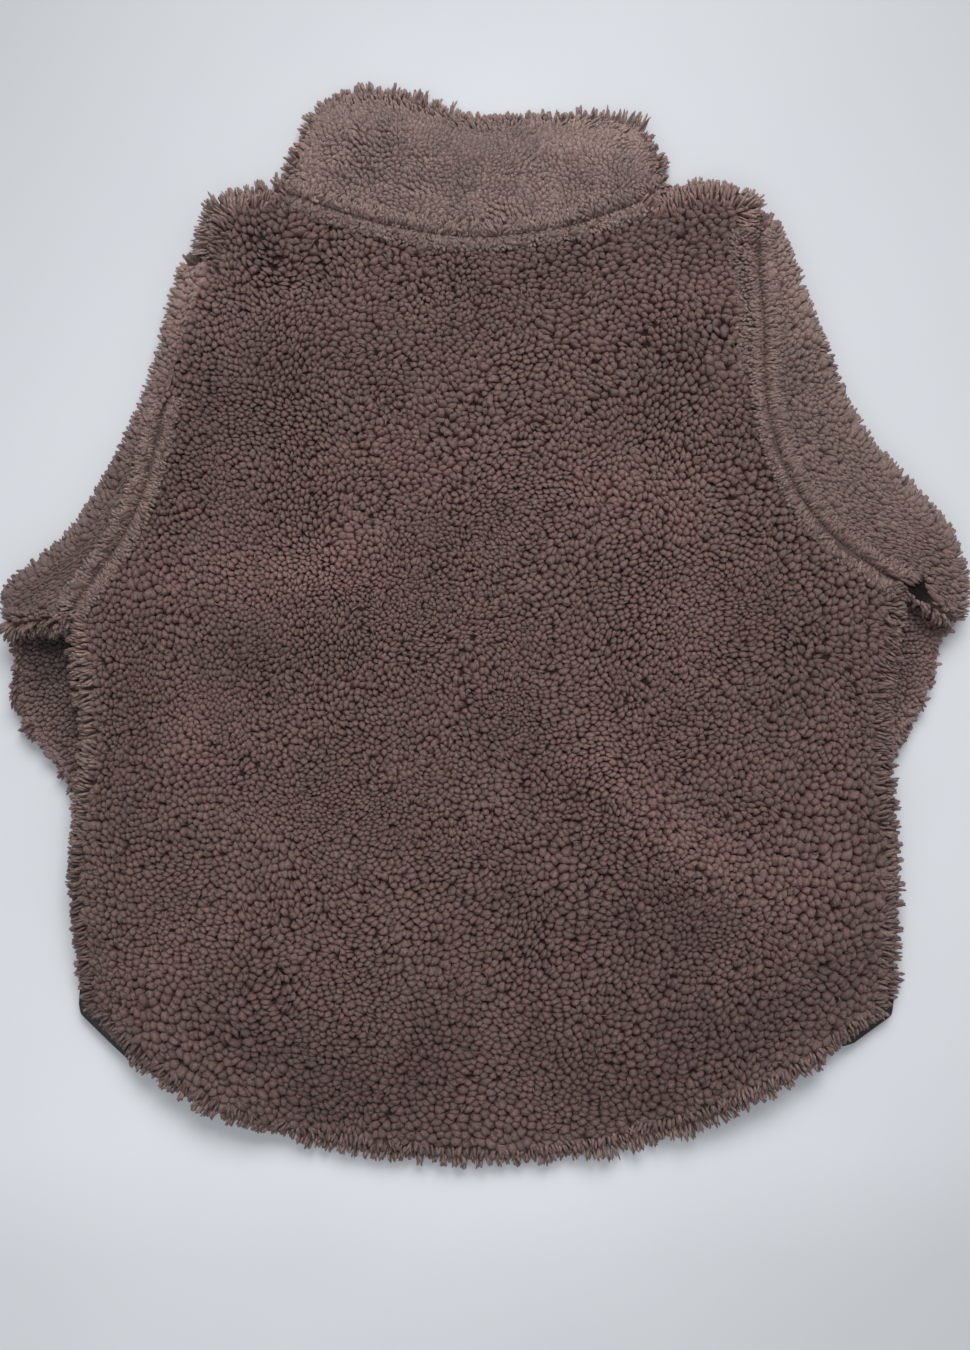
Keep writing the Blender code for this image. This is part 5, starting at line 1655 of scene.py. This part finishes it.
    # tufts along the tube's two sides
    for share, name in ((0.0, "over"), (1.0, "edge")):
        c, nn = sleeve_path(side, np.array([share, abs(share - 0.02)]))
        c, nn = refined(c, 3), unit(refined(nn, 3))
        line, out, head = c[0], unit(c[0] - c[1]), nn[0]
        if share == 0.0:  # only down to where the fold has turned under
            stop = np.argmax(nn[0, :, 2] < -0.9)
            line, out, head = line[:stop], out[:stop], head[:stop]
        hides = is_inside(line[:, :2], BODY_OUTLINE) & (distance_line(line[:, :2], BODY_OUTLINE) > 14) & (line[:, 2] < UNDER_BODY)
        hidden = hides[-1] and hides.argmax()
        if hidden:  # and only as far as the body's side
            line, out, head = line[: hidden + 3], out[: hidden + 3], head[: hidden + 3]
        # the longest tufts stand out from the left underarm
        lengths = 1 + (0.95 if side == "left" else -0.1) * np.exp(-(((line[:, 1] + 28) / 26) ** 2)) * share
        made.append(fringe(f"sleeve_{side}_tufts_{name}", pile_sleeve, line, out, head, 2.9, 7.6, 1.4,
                           (-64, -34, 0, 32, 62), 0.44 if side == "left" else 0.6, 0.66, seed + 30 + int(share * 9), reach=1.4, lengths=lengths))
        if share == 1.0:
            flat = (head[:, 2] > 0.2) & (in_hollow(line[:, :2]) <= 0)
            if flat.sum() > 8 and side == "left":
                first, final = flat.argmax(), len(flat) - flat[::-1].argmax()
                part = slice(first, final)
                made.append(fringe(f"sleeve_{side}_tufts_turn", pile_sleeve, line[part] - out[part] * 2.0, out[part], head[part], 2.4, 12.5, 1.35,
                                   (6, 22, 38, 54, 70), 0.42, 0.6, seed + 47, reach=1.6, bunch=7.5))
    return made


sleeve_pieces, sleeve_cloths = {}, {}
for side, seed in (("left", 500), ("right", 600)):
    sleeve_cloths[side] = sleeve_cloth(side)
    sleeve_pieces[side] = sleeve_locks(side, seed)


# ---------------------------------------------------------------- the collar
fine_across = np.linspace(0, 1, 240)
NECK_LINES = [body_point(fine_across, 1.0), front_point(fine_across, 1.0)]
COLLAR_X = (COLLAR_SIDES[0][1], COLLAR_SIDES[0][3])
COLLAR_TURN = (CLOTH + SLIT) / 2
COLLAR_SWELLS = [
    # place, x, y, turn in degrees, half length, half width, height
    ("left lobe", -78, 330, 8, 62, 30, 3.4),
    ("right lobe", 68, 322, -8, 62, 26, 2.4),
    ("along the seam", 8, 282, 2, 110, 16, 1.6),
]


def collar_point(across, up, back):
    """Plan of one half of the collar, inside its side folds; up runs from seam to top edge."""
    across, up = np.broadcast_arrays(np.asarray(across, float), np.asarray(up, float))
    rows = np.array([0.0, 0.22, 0.62, 1.0])
    sides = [through(rows, column(COLLAR_SIDES, k), up) for k in (1, 2, 3, 4)]
    top = through(column(COLLAR_TOP, 1), column(COLLAR_TOP, 2 if back else 3), across)
    x0, x1 = COLLAR_X
    line = NECK_LINES[0 if back else 1]
    seam_y = np.interp(x0 + (x1 - x0) * across, line[:, 0], line[:, 1])
    end0, end1 = np.interp([x0, x1], line[:, 0], line[:, 1])
    left_y = sides[1] + (1 - up) * (end0 - COLLAR_SIDES[0][2])
    right_y = sides[3] + (1 - up) * (end1 - COLLAR_SIDES[0][4])
    seam_line = end0 * (1 - across) + end1 * across
    top_line = COLLAR_TOP[0][2] * (1 - across) + COLLAR_TOP[-1][2] * across
    x = sides[0] * (1 - across) + sides[2] * across
    y = (1 - up) * (seam_y - seam_line) + up * (top - top_line)
    y = y + left_y * (1 - across) + right_y * across
    return np.stack([x, y], -1)


def collar_surface(across, up, kind):
    """Middle of the collar's layer and its outward normals. Across runs from fold to fold on the
    back half, and a turn of 0 to 1 leads round a side fold to the front half."""
    inset = (COLLAR_TURN + CLOTH / 2) / (COLLAR_X[1] - COLLAR_X[0])
    back = collar_point(np.clip(across, inset, 1 - inset), up, True)
    front = collar_point(np.clip(across, inset, 1 - inset), up, False)
    if kind == "back":
        side = np.abs(2 * across - 1)
        start = COLLAR_SAG_START + 0.25 * side**2
        sag = (CLOTH + SLIT) * (1 - side**3) * ease((up - start) / (1 - start))
        p = back
        z = underside(p) + CLOTH * 1.5 + SLIT - sag + bumps(p, COLLAR_SWELLS)
        z = z + 0.5 * noise(p[..., 0], p[..., 1], 22, 61)
    else:
        p = front
        z = underside(p) + CLOTH / 2
    return np.concatenate([p, z[..., None]], -1)


def collar_grid():
    up = np.r_[0.0, 0.03, np.linspace(0, 1, 20)[1:-1], 0.985, 1.0]
    inset = (COLLAR_TURN + CLOTH / 2) / (COLLAR_X[1] - COLLAR_X[0])
    over = np.linspace(inset, 1 - inset, 74)
    shift = (ZIP_HALF + 0.5) / (COLLAR_X[1] - COLLAR_X[0])
    middle_share = (0.0 - COLLAR_X[0]) / (COLLAR_X[1] - COLLAR_X[0])
    left = np.linspace(middle_share - shift, inset, 30)
    right = np.linspace(1 - inset, middle_share + shift, 30)
    turn = np.linspace(0, math.pi, 9)[1:-1]
    columns, heads = [], []
    for a in left:
        columns.append(collar_surface(np.full_like(up, a), up, "front"))
        heads.append(np.tile([0, 0, -1.0], (len(up), 1)))
    for sign, a, turned in ((-1, inset, turn), (1, 1 - inset, turn[::-1])):
        low = collar_surface(np.full_like(up, a), up, "front")
        high = collar_surface(np.full_like(up, a), up, "back")
        found = []
        for t in turned:
            s = (1 - math.cos(t)) / 2
            p = low * (1 - s) + high * s
            p[:, 0] += sign * COLLAR_TURN * math.sin(t)
            found.append((p, np.tile([sign * math.sin(t), 0, -math.cos(t)], (len(up), 1))))
        if sign == -1:
            for p, h in found:
                columns.append(p)
                heads.append(h)
            for b in over:
                columns.append(collar_surface(np.full_like(up, b), up, "back"))
                heads.append(np.tile([0, 0, 1.0], (len(up), 1)))
        else:
            for p, h in found:
                columns.append(p)
                heads.append(h)
    for a in right:
        columns.append(collar_surface(np.full_like(up, a), up, "front"))
        heads.append(np.tile([0, 0, -1.0], (len(up), 1)))
    return np.stack(columns, 1), np.stack(heads, 1), up


c, nn, collar_up = collar_grid()
near_seam = seam_relief(np.linalg.norm(c - c[:1], axis=-1))[..., None] * (nn[..., 2:] > 0.5)
collar_cloth = new_mesh("collar_cloth", *wall(c - nn * 1.9, c + nn * (0.2 + near_seam)), knit_brown, matted=np.ones(c[..., 0].size * 2))


def collar_locks():
    rng = np.random.default_rng(71)
    wide, tall_of = COLLAR_X[1] - COLLAR_X[0], 84.0

    def place_of(across, up):
        h = 0.004
        p = collar_surface(across, up, "back")
        dx = collar_surface(across + h, up, "back") - collar_surface(across - h, up, "back")
        dy = collar_surface(across, np.minimum(up + h, 1), "back") - collar_surface(across, up - h, "back")
        return p, unit(np.cross(dx, dy))

    def tone_of(p):
        tone = 0.50 + 0.16 * ease((p[:, 0] - 10) / 50) + 0.20 * noise(p[:, 0], p[:, 1], 26, 74) + 0.20 * noise(p[:, 0], p[:, 1], 10, 78)
        for cx, cy, rx, ry, step in ((-30, 318, 78, 30, -0.16), (100, 314, 15, 10, -0.34), (-118, 318, 20, 34, 0.16), (70, 330, 50, 22, 0.16)):
            tone = tone + step * np.exp(-(((p[:, 0] - cx) / rx) ** 2) - ((p[:, 1] - cy) / ry) ** 2)
        return tone + rng.uniform(-0.28, 0.28, len(p))

    made = []
    rim_wide = 11.0
    for kind, step in (("nubs", 3.25), ("rim", 2.7)):
        points, gap = lattice((0, 0, wide, tall_of), step, 700 if kind == "nubs" else 705, jitter=0.46, swirl=9.0 if kind == "nubs" else 4.0, rounds=0)
        if kind == "nubs":
            points, gap, theta, reach = cells(
                points, lambda p: 0.6 + 2.2 * noise(p[:, 0], p[:, 1], 40, 69), lambda p: 1.5 + 0.3 * noise(p[:, 0], p[:, 1], 20, 68), rng, rounds=2
            )
        else:
            theta = reach = gap
        across, up = points[:, 0] / wide, points[:, 1] / tall_of
        keep = (across > 0.022) & (across < 0.978) & (up > 0.095) & (up < 0.985)
        across, up, gap, theta, reach = across[keep], up[keep], gap[keep], theta[keep], reach[keep]
        edge = np.minimum(np.minimum(across, 1 - across) * wide, (1 - up) * tall_of)
        border = rim_wide + 3.0 * noise(across * wide, up * tall_of, 16, 79)
        keep = edge > border * 0.7 if kind == "nubs" else edge < border
        across, up, gap, edge, border, theta, reach = across[keep], up[keep], gap[keep], edge[keep], border[keep], theta[keep], reach[keep]
        p, head = place_of(across, up)
        seam_away = up * tall_of
        n = len(p)
        near = np.exp(-edge / 12)
        # the pile is combed up and outwards over the lobes
        angle = math.radians(90) - 1.05 * (2 * across - 1) + 0.7 * noise(p[:, 0], p[:, 1], 36, 72)
        angle = angle + (1.2 if kind == "nubs" else 0.5) * noise(p[:, 0], p[:, 1], 10, 77) + rng.normal(0, 0.26, n)
        way = np.column_stack([np.cos(angle), np.sin(angle), np.zeros(n)])
        tone = tone_of(p)
        if kind == "nubs":
            p = p + head * (0.8 * seam_relief(seam_away) + 0.35 * noise(p[:, 0], p[:, 1], 8, 76) + rng.normal(0, 0.18, n))[:, None]
            lean = np.radians(40 + 8 * noise(p[:, 0], p[:, 1], 25, 73) + 14 * near) + rng.normal(0, 0.14, n)
            worn = np.clip(0.42 + 0.4 * near + 0.10 * noise(p[:, 0], p[:, 1], 30, 75) + rng.normal(0, 0.07, n), 0, 1)
            tall = (0.9 + 0.42 * gap) * rng.uniform(0.82, 1.18, n)
            made.append(cobbles("collar_pile", pile_collar, theta, reach, p, head, way, tall,
                                tall * np.tan(lean), tone, worn, 710, foot=0.2))
        else:
            p = p + head * (0.5 * noise(p[:, 0], p[:, 1], 7, 76) - 0.2)[:, None]
            lean = np.radians(74 + rng.normal(0, 6, n) - 12 * edge / border)
            made.append(locks("collar_rim", pile_collar, p, head, way, 5.6 * rng.uniform(0.78, 1.25, n), 1.08 * rng.uniform(0.76, 1.3, n),
                              lean, 0.2, tone + 0.12, np.clip(rng.normal(0.85, 0.08, n), 0, 1), 712, rings=STRAND_RINGS, sides=4,
                              rough=0.2, wide=(0.85, 1.3), deep=(0.75, 1.0)))

    # the front half, against the table
    points, gap = lattice((0, 0, wide, 60), 7.5, 720, jitter=0.2, swirl=3.0, rounds=1)
    across, up = points[:, 0] / wide, points[:, 1] / 60
    middle_share = -COLLAR_X[0] / wide
    keep = (across > 0.03) & (across < 0.97) & (up > 0.05) & (up < 0.97) & (np.abs(across - middle_share) * wide > ZIP_HALF + 3)
    across, up, gap = across[keep], up[keep], gap[keep]
    p = collar_surface(across, up, "front")
    n = len(p)
    angle = math.radians(90) + rng.normal(0, 0.6, n)
    made.append(locks("collar_pile_under", pile_collar, p - [0, 0, -0.8], np.tile([0, 0, -1.0], (n, 1)),
                      np.column_stack([np.cos(angle), np.sin(angle), 0 * angle]), 5.0, gap * 0.60, 0.8, 0.3,
                      0.5 + rng.uniform(-0.2, 0.2, n), 0.4, 730, rings=STUB_RINGS, floor=0.15))

    # top edges and side folds
    across = np.linspace(0.025, 0.975, 90)
    for kind, tiers, size_of in (("back", (-46, -18, 10, 38), 7.6), ("front", (-30, 0, 30), 6.0)):
        line = collar_surface(across, np.full_like(across, 0.985), kind)
        n2 = normals(line[:, :2], np.tile([0.0, 1.0], (len(line), 1)))
        out = np.column_stack([n2, np.zeros(len(n2))])
        made.append(fringe(f"collar_tufts_{kind}", pile_collar, line, out, np.tile([0, 0, 1.0], (len(line), 1)), 2.7, size_of, 1.15,
                           tiers, 0.86, 0.85, 740 + len(made) * 9, reach=0.6, bunch=5.0,
                           lengths=1 + 1.2 * np.exp(-(((line[:, 0] - 110) / 13) ** 2))
                           - 0.50 * np.exp(-(((line[:, 0] - 18) / 24) ** 2)) + 0.45 * np.exp(-(((line[:, 0] + 44) / 20) ** 2))))
    up = np.linspace(0.03, 0.99, 30)
    inset = (COLLAR_TURN + CLOTH / 2) / wide
    for side, a, sign in (("left", inset, -1.0), ("right", 1 - inset, 1.0)):
        low, high = (collar_surface(np.full_like(up, a), up, kind) for kind in ("front", "back"))
        line = (low + high) / 2
        n2 = normals(line[:, :2], np.tile([sign, 0.1], (len(line), 1)))
        out = np.column_stack([n2, np.zeros(len(n2))])
        made.append(fringe(f"collar_tufts_{side}", pile_collar, line, out, np.tile([0, 0, 1.0], (len(line), 1)), 2.8, 7.0, 1.2,
                           (-70, -44, -18, 8, 34, 60), 0.80, 0.80, 780 + len(made) * 9, reach=COLLAR_TURN + 0.4))
    return made


collar_pieces = collar_locks()


# ---------------------------------------------------------------- binding and zip
def binding(side):
    """Folded tape round the body's lower corner: a ribbed strip along the joint of the layers."""
    up = np.linspace(0.45, 0.0, 26)[:-1] / (len(BODY_SIDES) - 1)
    share = np.linspace(0.0, 0.085 if side == "left" else 0.058, 44)
    if side == "left":
        line = np.vstack([body_point(np.zeros_like(up), up), body_point(share, np.zeros_like(share))])
        way = np.array([-0.7, -0.7])
    else:
        line = np.vstack([body_point(np.ones_like(up), up), body_point(1 - share, np.zeros_like(share))])
        way = np.array([0.7, -0.7])
    line = evenly(line, 150)
    n = normals(line, way)
    for _ in range(30):
        n[1:-1] = (n[:-2] + 2 * n[1:-1] + n[2:]) / 4
    n = unit(n)
    run = np.linspace(0, 1, len(line))
    taper = np.clip(np.minimum(run, 1 - run) / 0.16, 0.0, 1.0) ** 0.6
    z = underside(line) + CLOTH + SLIT / 2
    rib = 0.16 * np.cos(np.arange(len(line)) * math.pi)  # fine ribs across the tape
    profile = [
        # share out, height
        (-0.35, 0.9), (0.0, 1.15), (0.35, 1.2), (0.7, 1.0), (0.92, 0.6), (1.0, 0.0),
        (0.92, -0.6), (0.7, -1.0), (0.35, -1.2), (0.0, -1.15), (-0.35, -0.9),
    ]
    rings = []
    for share_out, height in profile:
        reach = 0.5 + (BINDING_WIDE - 0.5) * share_out * (0.3 + 0.7 * taper) + rib * 0.6
        tall = height * (0.5 + 0.5 * taper) + np.sign(height) * rib * 0.5
        rings.append(np.column_stack([line + n * reach[:, None], z + tall]))
    grid = np.stack(rings)  # (profile, along, 3)
    m, k = grid.shape[:2]
    a = (np.arange(m)[:, None] * k + np.arange(k - 1)).ravel()
    b = (((np.arange(m) + 1) % m)[:, None] * k + np.arange(k - 1)).ravel()
    tris = [np.stack([a, b + 1, a + 1], -1), np.stack([a, b, b + 1], -1)]
    for end in (0, k - 1):
        p = np.arange(1, m - 1)
        fan = np.stack([np.zeros_like(p), p, p + 1], -1) * k + end
        tris.append(fan if end == 0 else fan[:, ::-1])
    verts, tris = grid.reshape(-1, 3), np.concatenate(tris)
    corners = verts[tris]
    if np.einsum("ij,ij->i", corners[:, 0], np.cross(corners[:, 1], corners[:, 2])).sum() < 0:
        tris = tris[:, ::-1]
    return new_mesh(f"binding_{side}", verts, tris, binding_black)


def zip_strip():
    """Two woven tapes and, between them, the closed teeth, on the side that faces the table."""
    up = np.linspace(0.006, 0.994, 150)
    line = np.concatenate([front_point(np.full_like(up, 0.5), up), collar_point(np.full(24, -COLLAR_X[0] / (COLLAR_X[1] - COLLAR_X[0])), np.linspace(0.02, 0.94, 24), False)])
    line = evenly(line, 320)
    n = normals(line, np.array([1.0, 0.0]))
    z = underside(line) + CLOTH / 2
    made = []
    for sign, name in ((-1, "left"), (1, "right")):
        shares = np.array([0.5, 1.6, 2.8, 4.6])
        plan = line[:, None] + sign * n[:, None] * shares[None, :, None]
        lift = np.broadcast_to(np.array([0.0, 0.25, 0.15, 0.5]), (len(line), 4))
        low = np.dstack([plan, z[:, None] + lift - 0.35])
        made.append(new_mesh(f"zip_tape_{name}", *wall(low, low + [0, 0, 0.8]), zip_tape))
    total = length_of(line)
    at = np.arange(3, total - 3, 1.35)
    run = np.r_[0, np.cumsum(np.linalg.norm(np.diff(line, axis=0), axis=1))]
    p = np.stack([np.interp(at, run, line[:, i]) for i in range(2)], -1)
    tangent = unit(np.gradient(p, axis=0))
    across = np.stack([tangent[:, 1], -tangent[:, 0]], -1)
    level = underside(p) + CLOTH / 2 - 1.05
    side = np.where(np.arange(len(at)) % 2 == 0, 1.0, -1.0)
    # each tooth: a rounded bar from its tape over the middle
    shape = []
    for x, w, t in ((-1.9, 0.35, 0.35), (-1.2, 0.52, 0.62), (0.9, 0.5, 0.62), (1.5, 0.3, 0.4)):
        for a in np.arange(6) * math.pi / 3:
            shape.append((x, w * math.cos(a), t * math.sin(a)))
    shape = np.array(shape)
    verts = np.zeros((len(at), len(shape), 3))
    flat = p[:, None] + across[:, None] * (shape[None, :, 0:1] * side[:, None, None]) + tangent[:, None] * shape[None, :, 1:2]
    verts[..., :2] = flat
    verts[..., 2] = level[:, None] + shape[None, :, 2]
    pattern = []
    for k in range(3):
        for j in range(6):
            a, b = k * 6 + j, k * 6 + (j + 1) % 6
            pattern += [(a, b, b + 6), (a, b + 6, a + 6)]
    pattern += [(0, j + 1, j) for j in range(1, 5)] + [(18, 18 + j, 19 + j) for j in range(1, 5)]
    pattern = np.array(pattern)
    tris = []
    for k in range(len(at)):
        one = pattern if side[k] < 0 else pattern[:, ::-1]
        tris.append(one + k * len(shape))
    made.append(new_mesh("zip_teeth", verts, np.concatenate(tris), zip_teeth))
    return made


bindings = {side: binding(side) for side in ("left", "right")}
zip_pieces = zip_strip()

# ---------------------------------------------------------------- what stands for what
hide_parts("back")
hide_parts("collar")
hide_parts("front_zip")
for side in ("left", "right"):
    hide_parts(f"front_{side}")
    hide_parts(f"sleeve_{side}")
    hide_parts(f"hem_binding_{side}")

# ---------------------------------------------------------------- floor, light and camera
bpy.ops.mesh.primitive_plane_add(size=6.0, location=(0, 0, 0))
board = bpy.context.object
board.name = "board"
board.data.materials.append(floor_material())
board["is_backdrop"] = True


def area_light(name, place, aim, size, energy, colour):
    data = bpy.data.lights.new(name, "AREA")
    data.shape = "RECTANGLE"
    data.size, data.size_y = size
    data.energy = energy
    data.color = colour
    ob = bpy.data.objects.new(name, data)
    bpy.context.scene.collection.objects.link(ob)
    ob.location = place
    direction = np.array(aim, float) - np.array(place, float)
    yaw = math.atan2(direction[1], direction[0])
    pitch = math.acos(-direction[2] / np.linalg.norm(direction))
    ob.rotation_euler = (pitch, 0, yaw - math.pi / 2)
    return ob


area_light("window", (0.4, 3.0, 3.2), (0, 0, 0), (3.0, 2.0), 158, (0.99, 0.99, 1.0))
area_light("room", (-0.8, -1.2, 3.6), (0, 0, 0), (3.4, 3.4), 24, (0.98, 0.985, 1.0))

world = bpy.data.worlds.new("soft_room")
bpy.context.scene.world = world
world.use_nodes = True
background = world.node_tree.nodes["Background"]
background.inputs["Color"].default_value = (0.93, 0.96, 1.0, 1)
background.inputs["Strength"].default_value = 0.37

camera_data = bpy.data.cameras.new("camera")
camera = bpy.data.objects.new("camera", camera_data)
bpy.context.scene.collection.objects.link(camera)
camera_data.lens = 45.0
camera_data.sensor_width = 36.0
camera.location = (0.0007, -0.0345, 1.1675)
camera.rotation_euler = (0, 0, 0)
camera_data.clip_start = 0.05
bpy.context.scene.camera = camera
bpy.context.scene.view_settings.view_transform = "Standard"

low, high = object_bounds()
total = 0
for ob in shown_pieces():
    n = len(ob.data.polygons)
    total += n
    if n > 60000:
        print(ob.name, n)
print("triangles", total)
